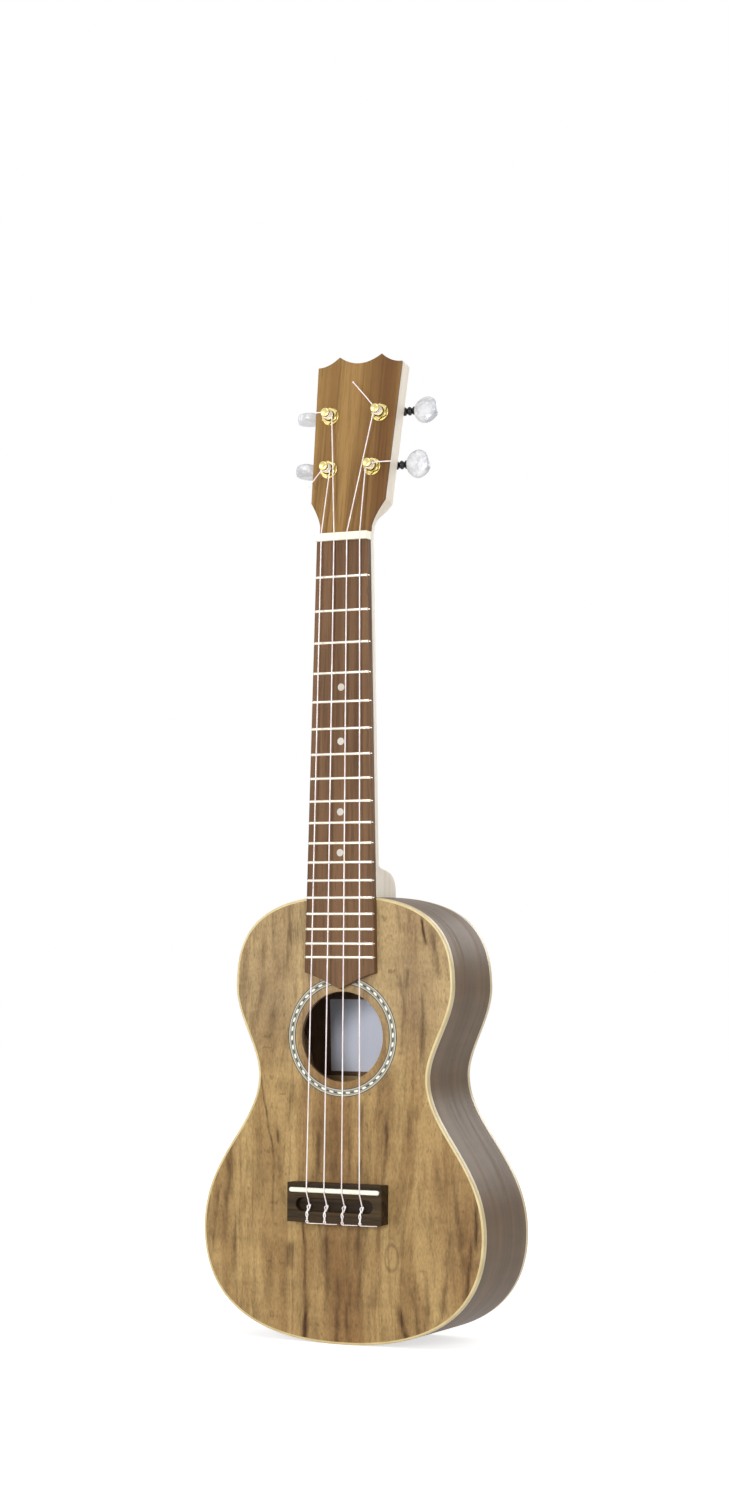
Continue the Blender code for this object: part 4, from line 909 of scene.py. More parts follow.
TOP_ZONES = streaks(
    (-2, -317, 15, 62, 0.0, 0.7), (1, -392, 14, 56, 0.0, 0.7), (-66, -350, 10, 60, 0.05, 0.18),
    (2, -312, 30, 44, 0.0, 0.36), (70, -352, 11, 60, -0.05, 0.5), (-8, -412, 48, 80, 0.0, 0.34),
    (-34, -205, 3.5, 34, 0.05, 0.3), (42, -216, 14, 60, -0.05, 0.48), (52, -335, 15, 70, 0.0, 0.34),
    (46, -206, 7.0, 34, -0.15, 0.35), (38, -262, 4.0, 60, 0.0, 0.25), (-46, -270, 6.0, 60, 0.0, 0.25),
)
HEAD_ZONES = streaks(
    (18, 52, 9.5, 110, -0.02, 0.85), (9, 30, 4.0, 60, -0.02, 0.4),
)


@dataclass
class Palette:
    """Every finish of the instrument, drawn as a material when it is first used."""

    drawn: dict[str, bpy.types.Material] = field(default_factory=dict)
    top_wood: Finish = Wood(
        "streaked_tan_walnut", roughness=0.5, gloss=0.15, light=(181, 152, 101), middle=(149, 120, 77),
        dark=(72, 48, 27), warm=(120, 85, 50), stretch=8.0, wander=1.8, line_amount=0.36,
        pore_amount=0.36, curl_amount=0.06, cloud_amount=0.42, fleck_amount=0.1, collar=0.0271,
        # The next tone is a greyer one, mixed in towards the upper end of the top.
        # The rim is the radius of the painted shade on the hole's wall.
        rim=0.02326, faded=(166, 148, 119), streaks=TOP_STREAKS, zones=TOP_ZONES,
        knots=(Streak(29, -370, 4.6, 8.2, 0.0, 0.32),),
    )
    side_wood: Finish = Wood(
        "grey_brown_walnut", roughness=0.42, gloss=0.16, light=(111, 87, 60), middle=(97, 75, 50),
        dark=(66, 49, 34), run=GrainRun.ALONG_THE_PIECE, pitch=220.0, stretch=26.0, line_amount=0.13,
        pore_amount=0.3, curl_amount=0.05, cloud_amount=0.1,
    )
    back_wood: Finish = Wood(
        "book_matched_walnut", roughness=0.46, gloss=0.15, light=(124, 100, 78), middle=(104, 82, 63),
        dark=(62, 46, 36), book_matched=True, pitch=240.0, stretch=20.0, wander=1.6, line_amount=0.42,
        pore_amount=0.3, curl_amount=0.06, cloud_amount=0.15,
    )
    board_wood: Finish = Wood(
        "walnut_fingerboard", roughness=0.52, gloss=0.12, light=(118, 89, 64), middle=(100, 73, 51),
        dark=(66, 46, 33), pitch=420.0, stretch=30.0, line_amount=0.5, pore_amount=0.4, cloud_amount=0.12,
    )
    head_wood: Finish = Wood(
        "walnut_veneer", roughness=0.5, gloss=0.12, light=(156, 122, 74), middle=(133, 100, 58),
        dark=(76, 52, 30), warm=(102, 69, 40), lean=HEAD_TILT, pitch=620.0, stretch=36.0, wander=0.25,
        line_amount=0.46, pore_amount=0.34, cloud_amount=0.1, zones=HEAD_ZONES,
    )
    pale_wood: Finish = Wood(
        "pale_neck_wood", roughness=0.48, gloss=0.4, light=(248, 239, 223), middle=(240, 228, 207),
        dark=(222, 204, 176), pitch=520.0, stretch=34.0, line_amount=0.22, pore_amount=0.15,
    )
    inner_wood: Finish = Wood(
        "bare_inner_wood", roughness=0.75, gloss=0.1, light=(196, 164, 118), middle=(178, 144, 100),
        dark=(136, 104, 70), run=GrainRun.ACROSS, pitch=700.0, stretch=40.0, line_amount=0.4,
        pore_amount=0.2,
    )
    bridge_wood: Finish = Wood(
        "dark_rosewood", gloss=0.12, light=(71, 55, 34), middle=(47, 36, 23), dark=(17, 13, 9),
        run=GrainRun.ACROSS, pitch=520.0, stretch=36.0, wander=0.6, line_amount=0.75, pore_amount=0.5,
    )
    binding: Finish = Plastic(
        "cream_binding", roughness=0.32, coat=0.15, shade=(209, 190, 140), cloud=(194, 173, 122)
    )
    ivory: Finish = Plastic(
        "ivory_plastic", roughness=0.28, coat=0.2, shade=(242, 239, 221), cloud=(236, 232, 208)
    )
    inlay: Finish = RopeInlay("rope_inlay", roughness=0.3, coat=0.2)
    dot: Finish = Plastic("position_dot", gloss=0.2, shade=(206, 200, 190), cloud=(196, 189, 178))
    pearl: Finish = Pearl("pearl_plastic", roughness=0.14, coat=0.3, coat_roughness=0.05)
    gold: Finish = Metal("gold_plate", roughness=0.16, shade=(230, 214, 148), dull=(202, 183, 112))
    fret_metal: Finish = Metal("nickel_silver", roughness=0.34, shade=(236, 230, 216), dull=(220, 213, 198))
    black_metal: Finish = Metal(
        "black_plate", roughness=0.22, metallic=0.4, shade=(22, 22, 26), dull=(34, 34, 38)
    )
    nylon: Finish = Nylon("clear_nylon", roughness=0.22, coat=0.2)
    paper: Finish = Paper("bare_label", roughness=0.85)

    def paint(self, piece: Piece, finish: Finish) -> None:
        """Gives an object the material of a finish, which is drawn once, and nothing else."""
        if finish.name not in self.drawn:
            self.drawn[finish.name] = finish.material()
        piece.data.materials.clear()
        piece.data.materials.append(self.drawn[finish.name])

    def dress(self, piece: Piece, finish: Finish, slot: str | None, *nodes: str, body: str = ROOT) -> None:
        """Gives a new piece its finish, its body and the solids that it stands for.

        Args:
            piece: The finished object.
            finish: Its finish.
            slot: The record's material slot, or None where it has none; not used.
            nodes: Names of the solids that it replaces.
            body: The body that it moves with.
        """
        self.paint(piece, finish)
        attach(piece, body)
        if nodes:
            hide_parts(*nodes)
        log.info("piece %s rides on %s", piece.name, body)

    def repaint(self, node: str, finish: Finish) -> None:
        """Gives a solid that stays as it is a better material."""
        self.paint(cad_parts[node], finish)
        log.info("solid %s keeps its shape", node)


# Sub-assemblies


@dataclass(frozen=True)
class Layout:
    """Sizes that several sub-assemblies share, in metres from the nut's front edge and the soundboard."""

    scale_length: float = 0.335
    string_radius: float = 0.00033
    nut_spread: float = 0.0223
    saddle_spread: float = 0.0303
    board_nut_width: float = 0.0296
    board_end_width: float = 0.0403
    board_end_z: float = -0.2246
    board_top: float = -0.0039
    nut_string_y: float = -0.00593
    saddle_z: float = -0.3364
    saddle_string_y: float = -0.00993
    bridge_top: float = -0.0083

    def fret_z(self, number: float) -> float:
        """Height of a fret's crown: each is the twelfth root of two nearer the saddle."""
        return -self.scale_length * (1.0 - 2.0 ** (-number / 12.0))

    def board_half_width(self, z: ArrayLike) -> Array:
        """Half the fingerboard's width at a height, widening in a straight line."""
        share = z / self.board_end_z
        return (self.board_nut_width + (self.board_end_width - self.board_nut_width) * share) / 2

    def string_x(self, index: int, spread: float) -> float:
        """Distance of a string from the centre line, string 0 at -X."""
        return spread * (index / (STRING_COUNT - 1) - 0.5)


@dataclass
class Soundbox:
    """The hollow body: plates, sides, bindings, inlaid ring and the label inside."""

    palette: Palette
    top_z: float = -0.184475
    length: float = 0.231
    upper_width: float = 0.1246
    upper_drop: float = 0.0468
    waist_width: float = 0.0971
    waist_drop: float = 0.0938
    lower_width: float = 0.1608
    lower_drop: float = 0.1734
    fullness: tuple[float, ...] = (0.88, 0.49, 0.36, 0.31, 0.33, 0.465, 0.57, 0.73)
    heel_depth: float = 0.0495
    tail_depth: float = 0.0615
    plate_thickness: float = 0.0022
    side_thickness: float = 0.0018
    binding_width: float = 0.0013
    binding_height: float = 0.0034
    binding_corner: float = 0.0007
    seam: float = 0.00004
    hole_radius: float = 0.0232
    hole_rounding: float = 0.0003
    ring_inner: float = 0.027
    ring_width: float = 0.00415
    ring_depth: float = 0.0009
    label_low: Pair = (-0.032, -0.2776)
    label_high: Pair = (0.032, -0.239)
    label_faces: Pair = (0.00015, 0.00002)
    steps: int = 28

    def half(self, inset: float = 0.0) -> Array:
        """The treble half of the outline, from the upper end to the tail.

        Four cubic curves run through the upper end, the upper bout, the waist, the lower bout and the
        tail. Each point then moves inwards along the outline's normal by the inset.

        Args:
            inset: How far inside the outline it runs.

        Returns:
            Rows of (x, z).
        """
        f = self.fullness
        top, tail = (0.0, self.top_z), (0.0, self.top_z - self.length)
        upper = (self.upper_width / 2, self.top_z - self.upper_drop)
        waist = (self.waist_width / 2, self.top_z - self.waist_drop)
        lower = (self.lower_width / 2, self.top_z - self.lower_drop)
        a, b, c = upper[1] - waist[1], waist[1] - lower[1], lower[1] - tail[1]
        knots = np.array([
            [top, (f[0] * upper[0], top[1]), (upper[0], upper[1] + f[1] * self.upper_drop), upper],
            [upper, (upper[0], upper[1] - f[2] * a), (waist[0], waist[1] + f[3] * a), waist],
            [waist, (waist[0], waist[1] - f[4] * b), (lower[0], lower[1] + f[5] * b), lower],
            [lower, (lower[0], lower[1] - f[6] * c), (f[7] * lower[0], tail[1]), tail],
        ])
        t = (np.arange(self.steps) / self.steps)[None, :, None]
        p0, p1, p2, p3 = knots.transpose(1, 0, 2)[:, :, None]
        points = (1 - t) ** 3 * p0 + 3 * (1 - t) ** 2 * t * p1 + 3 * (1 - t) * t**2 * p2 + t**3 * p3
        turns = (1 - t) ** 2 * (p1 - p0) + 2 * (1 - t) * t * (p2 - p1) + t**2 * (p3 - p2)
        points = np.vstack([points.reshape(-1, 2), tail])
        turns = unit(np.vstack([turns.reshape(-1, 2), (-1.0, 0.0)]))
        return points + inset * np.column_stack([turns[:, 1], -turns[:, 0]])

    def loop(self, inset: float = 0.0) -> Array:
        """The whole outline as a closed loop of (x, z) rows."""
        half = self.half(inset)
        return np.vstack([half, half[-2:0:-1] * (-1.0, 1.0)])

    def back_face(self, z: ArrayLike) -> Array:
        """Depth of the back's outer face, a slope from the heel to the tail."""
        share = (self.top_z - z) / self.length
        return self.heel_depth + (self.tail_depth - self.heel_depth) * share

    def build(self) -> None:
        """Builds and dresses every piece of the body."""
        look = self.palette
        look.dress(self.soundboard(), look.top_wood, "top_walnut", "soundboard")
        look.dress(self.inlaid_ring(), look.inlay, "rosette_inlay", "rosette")
        look.dress(self.back(), look.back_wood, "side_walnut", "back")
        for name, sign in (("side_bass", -1.0), ("side_treble", 1.0)):
            look.dress(self.side(f"{name}_bent", sign), look.side_wood, "side_walnut", name)
        for plate in Plate:
            look.dress(self.edge_band(plate), look.binding, "cream_binding", f"binding_{plate.value}")
        look.dress(self.label(), look.paper, None)
        inner = ("neck_block", "tail_block", "lining_top", "lining_back")
        for node in (*inner, "top_brace_upper", "top_brace_lower", "back_brace"):
            look.repaint(node, look.inner_wood)

    def soundboard(self) -> Piece:
        """The top plate as one closed ring: across its face from the hole's wall to its outer edge.

        Each row follows the outline or, near the hole, a circle at the same bearings from its middle.
        """
        edge = self.loop(self.binding_width + self.seam)
        around = unit(edge - (0.0, HOLE_Z))
        inner, outer = self.ring_inner - self.seam, self.ring_inner + self.ring_width + self.seam
        radius, soft = self.hole_radius, self.hole_rounding
        round_rows = (
            (radius, self.plate_thickness), (radius, soft), (radius + 0.3 * soft, 0.3 * soft),
            (radius + soft, 0.0), (inner, 0.0), (inner, self.ring_depth), (outer, self.ring_depth),
            (outer, 0.0),
        )
        rows = [on_level(around * reach + (0.0, HOLE_Z), depth) for reach, depth in round_rows]
        start = around * outer + (0.0, HOLE_Z)
        rows += [on_level(start + (edge - start) * share, 0.0) for share in (0.25, 0.5, 0.75)]
        rows += [on_level(edge, 0.0), on_level(edge, self.plate_thickness)]
        return skin("soundboard_plate", rows, Ends.JOINED)

    def inlaid_ring(self) -> Piece:
        """The ring round the soundhole, with a pattern that runs round it and outwards across it."""
        steps = 180
        shares = np.array([0.0, 0.0, 0.25, 0.5, 0.75, 1.0, 1.0])
        depths = np.array([self.ring_depth, 0.0, 0.0, 0.0, 0.0, 0.0, self.ring_depth])
        rows = [
            on_level(circle(steps) * (self.ring_inner + share * self.ring_width) + (0.0, HOLE_Z), depth)
            for share, depth in zip(shares, depths)
        ]
        around, across = np.meshgrid(np.arange(steps + 1) / steps, np.append(shares, shares[0]))
        return skin("inlaid_ring", rows, Ends.JOINED, uv=np.stack([around, across], axis=-1))

    def back(self) -> Piece:
        """The back plate, flat and sloping with the sides."""
        edge = self.loop(self.binding_width + self.seam)
        outer = self.back_face(edge[:, 1])
        return skin("back_plate", [on_level(edge, outer - self.plate_thickness), on_level(edge, outer)])

    def side(self, name: str, sign: float) -> Piece:
        """One bent side: its section is carried along half the outline, and the pattern runs with it.

        Args:
            name: Name of the new object.
            sign: 1 for the treble side, -1 for the bass side.

        Returns:
            The closed piece.
        """
        outer, inner = self.half(), self.half(self.side_thickness)
        outer[:, 0], inner[:, 0] = np.maximum(outer[:, 0], self.seam), np.maximum(inner[:, 0], self.seam)
        front = self.binding_height + self.seam
        back_outer, back_inner = (self.back_face(path[:, 1]) - front for path in (outer, inner))
        corners = ((outer, front), (outer, back_outer), (inner, back_inner), (inner, front))
        grid = np.stack([on_level(*corner) for corner in corners], axis=1) * (sign, 1.0, 1.0)
        depth = np.concatenate([grid[:, :, 1], grid[:, :1, 1]], axis=1)
        along = np.broadcast_to(travelled(outer)[:, None], depth.shape)
        return skin(name, grid, uv=np.stack([along, depth], axis=-1))

    def edge_band(self, plate: Plate) -> Piece:
        """The binding of a plate: a section with one rounded corner, carried round the outline."""
        width, height, corner = self.binding_width, self.binding_height, self.binding_corner
        angles = np.linspace(0.0, math.pi / 2, 5)
        insets = np.concatenate([[width], corner * (1 - np.sin(angles)), [0.0, width]])
        depths = np.concatenate([[0.0], corner * (1 - np.cos(angles)), [height, height]])
        rows = []
        for inset, depth in zip(insets, depths):
            edge = self.loop(inset)
            rows.append(on_level(edge, depth if plate is Plate.TOP else self.back_face(edge[:, 1]) - depth))
        return skin(f"binding_band_{plate.value}", rows, Ends.JOINED)

    def label(self) -> Piece:
        """The bare paper slip on the inside of the back, seen through the soundhole."""
        (x0, z0), (x1, z1) = self.label_low, self.label_high
        corners = np.array([(x0, z0), (x1, z0), (x1, z1), (x0, z1)])
        inside = self.back_face(corners[:, 1]) - self.plate_thickness
        return skin("bare_label_slip", [on_level(corners, inside - face) for face in self.label_faces])


@dataclass
class Fingerboard:
    """Board, frets, position dots and nut."""

    palette: Palette
    layout: Layout
    tip: float = 0.0085
    tip_curve: float = 1.25
    fret_width: float = 0.0016
    fret_height: float = 0.001
    fret_inset: float = 0.0005
    fret_film: float = 0.00002
    tang_thickness: float = 0.0005
    tang_depth: float = 0.0014
    dot_radius: float = 0.0019
    dot_depth: float = 0.0008
    dot_spaces: tuple[int, ...] = (5, 7, 10, 12)
    nut_above_strings: float = 0.0002
    nut_rounding: float = 0.0006

    def build(self) -> None:
        """Builds and dresses the board and what is set in it."""
        look = self.palette
        look.dress(soften(self.board(), 0.00035), look.board_wood, "board_walnut", "fretboard")
        for number in range(1, FRET_COUNT + 1):
            node = f"fret_{number:02d}"
            look.dress(self.fret(node + "_wire", number), look.fret_metal, "fret_metal", node)
        for space in self.dot_spaces:
            look.dress(self.dot(space), look.dot, "pearl")
        look.dress(self.nut(), look.ivory, "ivory", "nut")

    def board(self) -> Piece:
        """The board: straight sides and an end that falls to a point, tip times share to a power."""
        layout, share = self.layout, np.linspace(0.0, 1.0, 22)
        half = layout.board_half_width(layout.board_end_z)
        end = np.column_stack([half * (1 - share), layout.board_end_z - self.tip * share**self.tip_curve])
        right = np.vstack([(layout.board_half_width(0.0), -GLUE), end])
        outline = np.vstack([right, right[-2::-1] * (-1.0, 1.0)])
        rows = [on_level(outline, depth) for depth in (layout.board_top, -GLUE)]
        return skin("fingerboard_plate", rows, crease=30.0)

    def fret(self, name: str, number: int) -> Piece:
        """A fret wire: a half-ellipse crown with sloping ends, over a thin tang.

        Args:
            name: Name of the new object.
            number: Which fret, counted from the nut.

        Returns:
            The crown and its tang as one piece.
        """
        z, top = self.layout.fret_z(number), self.layout.board_top
        edge = self.layout.board_half_width(z)
        reach = edge - self.fret_inset
        angles = np.linspace(0.0, math.pi, 13)
        x = np.array([-reach, -reach + 0.0003, -reach + 0.0008, reach - 0.0008, reach - 0.0003, reach])
        share = np.array([0.15, 0.7, 1.0, 1.0, 0.7, 0.15])
        lift = top - self.fret_height * share[:, None] * np.sin(angles) - self.fret_film
        along = z + self.fret_width / 2 * np.cos(angles)
        crown = skin(name + "_crown", np.stack(np.broadcast_arrays(x[:, None], lift, along), axis=-1))
        half = self.tang_thickness / 2
        low = (-edge - self.fret_film, top, z - half)
        high = (edge + self.fret_film, top + self.tang_depth, z + half)
        return joined(name, [crown, block(name + "_tang", low, high)])

    def dot(self, space: int) -> Piece:
        """A position dot in the middle of a fret space, turned: radius against depth."""
        middle = (self.layout.fret_z(space) + self.layout.fret_z(space - 1)) / 2
        rows = [
            on_level(self.dot_radius * share * circle(36) + (0.0, middle), self.layout.board_top - rise)
            for share, rise in ((0.92, 0.00003), (1.0, 0.00001), (1.0, -self.dot_depth))
        ]
        return skin(f"position_dot_{space:02d}", rows)

    def nut(self) -> Piece:
        """The nut: its rounded section is carried across the neck and dips in a groove at each string."""
        layout = self.layout
        reach, radius = layout.board_half_width(0.0), layout.string_radius + GLUE
        x = np.linspace(-reach, reach, 420)
        top = np.full(len(x), layout.nut_string_y - self.nut_above_strings)
        for index in range(STRING_COUNT):
            away = np.abs(x - layout.string_x(index, layout.nut_spread))
            floor = layout.nut_string_y + np.sqrt(np.maximum(radius**2 - away**2, 0.0))
            top = np.where(away < radius, floor, top)
        angles = np.linspace(0.0, math.pi / 2, 5)
        sink, step = self.nut_rounding * (1 - np.sin(angles)), self.nut_rounding * (1 - np.cos(angles))
        base = np.full(len(x), -GLUE)
        depth = np.column_stack([base, top[:, None] + np.concatenate([sink, sink[::-1]]), base])
        run = np.concatenate([[0.0], step, NUT_LENGTH - step[::-1], [NUT_LENGTH]])
        return skin("nut_bar", np.stack(np.broadcast_arrays(x[:, None], depth, run), axis=-1))


@dataclass
class Bridge:
    """Tie bridge and saddle."""

    palette: Palette
    layout: Layout
    width: float = 0.054
    length: float = 0.0202
    above_saddle: float = 0.0037
    saddle_width: float = 0.0514
    saddle_thickness: float = 0.0025
    saddle_top: float = -0.0093
    saddle_floor: float = -0.0046
    saddle_rounding: float = 0.0009
    seat_play: float = 0.00008
    slot_width: float = 0.044
    slot_length: float = 0.0069
    slot_drop: float = 0.0074
    slot_depth: float = 0.0045
    hole_drop: float = 0.0017
    hole_play: float = 0.0003

    @property
    def lower_edge(self) -> float:
        """Height of the bridge's lower edge."""
        return self.layout.saddle_z + self.above_saddle - self.length

    @property
    def slot_end(self) -> float:
        """Height of the tie slot's lower wall."""
        return self.layout.saddle_z - self.slot_drop - self.slot_length / 2

    def build(self) -> None:
        """Builds and dresses the bridge and its saddle."""
        look = self.palette
        look.dress(self.body(), look.bridge_wood, "dark_rosewood", "bridge")
        look.dress(self.saddle(), look.ivory, "ivory", "saddle")

    def body(self) -> Piece:
        """The bridge: a box with soft edges, a saddle seat, a tie slot and four tie holes."""
        layout, half = self.layout, self.width / 2
        top, z0, past = layout.bridge_top, self.lower_edge, 0.002
        base = block("bridge_block", (-half, top, z0), (half, -GLUE, z0 + self.length))
        play = self.seat_play
        seat = stadium(self.saddle_width + play, self.saddle_thickness + play, layout.saddle_z)
        slot = stadium(self.slot_width, self.slot_length, layout.saddle_z - self.slot_drop)
        pits = [
            skin("pit", [on_level(outline, depth) for depth in (2 * top, floor)])
            for outline, floor in ((seat, self.saddle_floor), (slot, top + self.slot_depth))
        ]
        holes = []
        for index in range(STRING_COUNT):
            middle = (layout.string_x(index, layout.saddle_spread), top + self.hole_drop)
            ring = middle + (layout.string_radius + self.hole_play) * circle(16)
            rows = [np.insert(ring, 2, z, axis=1) for z in (z0 - past, self.slot_end + past)]
            holes.append(skin("tie_hole", rows))
        body = carved(carved(base, joined("pit_cut", pits)), joined("hole_cut", holes))
        return soften(body, 0.00035)

    def saddle(self) -> Piece:
        """The saddle: a slot-shaped outline raised through levels that draw in to a rounded crest."""
        width, thickness, z = self.saddle_width, self.saddle_thickness, self.layout.saddle_z
        angles = np.linspace(0.0, math.pi / 2, 6)
        insets, rises = (self.saddle_rounding * (1 - wave) for wave in (np.cos(angles), np.sin(angles)))
        rows = [on_level(stadium(width, thickness, z), self.saddle_floor)]
        for inset, rise in zip(insets, rises):
            outline = stadium(width - 2 * inset, thickness - 2 * inset, z)
            rows.append(on_level(outline, self.saddle_top + rise))
        return skin("saddle_bar", rows, crease=50.0)


@dataclass
class Neck:
    """Neck with heel and head core in one piece of wood, and the veneer on the head's face."""

    palette: Palette
    layout: Layout
    box: Soundbox
    posts: tuple[Pair, ...]
    nut_depth: float = 0.013
    far_depth: float = 0.0142
    side_wall: float = 0.0014
    heel_depth: float = 0.0472
    heel_height: float = 0.0137
    heel_fullness: float = 3.0
    heel_fillet: float = 0.05
    heel_cap_width: float = 0.0215
    heel_roundness: float = 6.0
    core: float = 0.0083
    veneer: float = 0.0012
    length: float = 0.0936
    top_width: float = 0.049
    shoulder_width: float = 0.0428
    shoulder_at: float = 0.0176
    flare_at: float = 0.007
    flare_curve: float = 1.45
    peak_spread: float = 0.0246
    peak_rise: float = 0.0051
    valley_rise: float = 0.0008
    scallop_sag: float = 0.0014
    hole_radius: float = 0.0036

    def build(self) -> None:
        """Builds and dresses the neck and the veneer."""
        look = self.palette
        neck = carved(self.wood(), self.post_holes("core_holes", -0.02, 0.0))
        look.dress(soften(neck, 0.0004), look.pale_wood, "pale_wood", "neck")
        facing = carved(self.facing(), self.post_holes("facing_holes", -0.01, 0.01))
        look.dress(soften(facing, 0.0002), look.head_wood, "head_walnut", "head_veneer")

    @property
    def shares(self) -> Array:
        """Places across the head from -1 to 1, with one on each peak of its scalloped end."""
        peak = self.peak_spread / self.top_width
        left = np.linspace(-1.0, -peak, 13)
        middle = np.linspace(-peak, peak, 25)
        return np.concatenate([left, middle[1:], -left[-2::-1]])

    def half_width(self, up: float) -> float:
        """Half the head's width: a hollow curve out of the neck, then a straight spread."""
        start, shoulder = self.layout.board_nut_width / 2, self.shoulder_width / 2
        if up < self.shoulder_at:
            share = max((up - self.flare_at / 2) / (self.shoulder_at - self.flare_at / 2), 0.0)
            return start + (shoulder - start) * share**self.flare_curve
        share = (up - self.shoulder_at) / (self.length - self.shoulder_at)
        return shoulder + (self.top_width / 2 - shoulder) * share

    def end(self, x: Array) -> Array:
        """Height of the scalloped end: hollow curves between two peaks and beside them."""
        x = np.abs(x)
        corner, peak = self.top_width / 2, self.peak_spread / 2
        share = np.clip((corner - x) / (corner - peak), 0.0, 1.0)
        outer = self.peak_rise * share - self.scallop_sag * 4 * share * (1 - share)
        valley = self.valley_rise + (self.peak_rise - self.valley_rise) * (x / peak) ** 2
        return self.length + np.where(x < peak, valley, outer)

    def back_row(self, half: float, depth: float, roundness: float, end_half: float) -> tuple[Array, Array]:
        """The back of a section from right to left: a superellipse under short straight walls.

        Args:
            half: Half the section's width at its front.
            depth: How far back it reaches.
            roundness: The superellipse's power, 2 for an ellipse.
            end_half: Half its width at the back.

        Returns:
            Distances across and depths.
        """
        angles = np.linspace(0.0, math.pi, len(self.shares))
        cosine = np.cos(angles)
        x = np.sign(cosine) * np.abs(cosine) ** (2 / roundness)
        down = self.side_wall + (depth - self.side_wall) * np.abs(np.sin(angles)) ** (2 / roundness)
        return x * (half + (end_half - half) * down / depth), down

    def shaft_ring(self, z: float, share: float) -> Array:
        """One section of the neck below the nut.

        Args:
            z: Its height.
            share: How much of it is heel, from 0 to 1.

        Returns:
            Its points, the front from left to right and then the back.
        """
        depth = self.nut_depth + (self.far_depth - self.nut_depth) * z / self.box.top_z
        depth += (self.heel_depth - depth) * share
        half = self.layout.board_half_width(min(z, 0.0))
        roundness = 2.0 + (self.heel_roundness - 2.0) * share
        end_half = half + (self.heel_cap_width / 2 - half) * share
        back_x, back_y = self.back_row(half, depth, roundness, end_half)
        x = np.concatenate([half * self.shares, back_x])
        y = np.concatenate([np.zeros(len(self.shares)), back_y])
        return np.column_stack([x, y, np.full(len(x), z)])

    def head_ring(self, up: float) -> Array:
        """One section of the head's core, turning from the neck's round back to a flat one."""
        half, shares = self.half_width(up), self.shares
        low, high = self.flare_at / 3, self.shoulder_at
        ramp = min(max((up - low) / (high - low), 0.0), 1.0)
        blend = ramp * ramp * (3.0 - 2.0 * ramp)
        at_nut = self.nut_depth - self.veneer
        thickness = at_nut + (self.core - at_nut) * blend
        back_x, back_down = self.back_row(half, thickness, 2.0, half)
        back_down = (1 - blend) * back_down + blend * thickness
        tilt = math.radians(HEAD_TILT) * blend
        direction = np.array([0.0, math.cos(tilt), -math.sin(tilt)])
        back = on_head(0.0, up, -self.veneer) + back_down[:, None] * direction
        back[:, 0] = (1 - blend) * back_x - blend * half * shares
        return np.vstack([on_head(half * shares, up, -self.veneer), back])

    def leaf(self, x: Array, up: ArrayLike, front: float, back: float) -> Array:
        """A flat section of the head: its front from left to right, then its back the other way.

        Args:
            x: Distances across.
            up: Height of each, or of all.
            front: How far its front stands out of the head's face.
            back: How far its back does.

        Returns:
            Its points.
        """
        up = np.broadcast_to(up, len(x))
        return np.vstack([on_head(x, up, front), on_head(x[::-1], up[::-1], back)])

    def wood(self) -> Piece:
        """The neck: sections from the heel's joint with the body to the head's scalloped end."""
        top_z, rings = self.box.top_z, []
        for drop in np.concatenate([np.linspace(0.0, 0.0176, 45), np.linspace(0.02, 0.044, 9)]):
            inside = (1.0 - (drop / self.heel_height) ** self.heel_fullness) / self.heel_fillet
            share = (self.heel_fillet * math.log1p(math.exp(inside))) ** (1 / self.heel_fullness)
            rings.append(self.shaft_ring(top_z + drop, share))
        edge = self.box.half(-0.00005)[: self.box.steps]
        rings[0][:, 2] = np.interp(np.abs(rings[0][:, 0]), edge[:, 0], edge[:, 1])
        straight = (*np.linspace(top_z + 0.06, 0.0, 8), NUT_LENGTH - self.veneer)
        rings += [self.shaft_ring(z, 0.0) for z in straight]
        rings += [self.head_ring(up) for up in (*np.linspace(0.0003, 0.0186, 27), 0.03)]
        x = self.top_width / 2 * self.shares
        rings.append(self.leaf(x, self.end(x), -self.veneer, -self.veneer - self.core))
        return skin("neck_wood", rings, Ends.STRIPS, crease=40.0)

    def facing(self) -> Piece:
        """The veneer: thin sections up the head's face, ending in the same scallops."""
        ups = (*np.linspace(0.0005, 0.0186, 20), 0.03, 0.05, 0.07)
        sections = [(self.half_width(up) * self.shares, up) for up in ups]
        x = self.top_width / 2 * self.shares
        rows = [self.leaf(*section, 0.0, -self.veneer + GLUE) for section in (*sections, (x, self.end(x)))]
        return skin("head_facing", rows, Ends.STRIPS, crease=40.0)

    def post_holes(self, name: str, low: float, high: float) -> Piece:
        """Round cutters where the four bushings pass the head."""
        profile = ((self.hole_radius, low), (self.hole_radius, high))
        return joined(name, [turned_on_head(name, profile, post, 32) for post in self.posts])


class Side(Enum):
    """A side of the instrument, with its direction along X."""

    BASS = -1.0
    TREBLE = 1.0

    @property
    def label(self) -> str:
        """The side's word in the names of pieces."""
        return self.name.lower()


class Place(Enum):
    """Where a tuning machine sits: its side of the head and its height on it."""

    BASS_UPPER = "bass_upper"
    BASS_LOWER = "bass_lower"
    TREBLE_UPPER = "treble_upper"
    TREBLE_LOWER = "treble_lower"


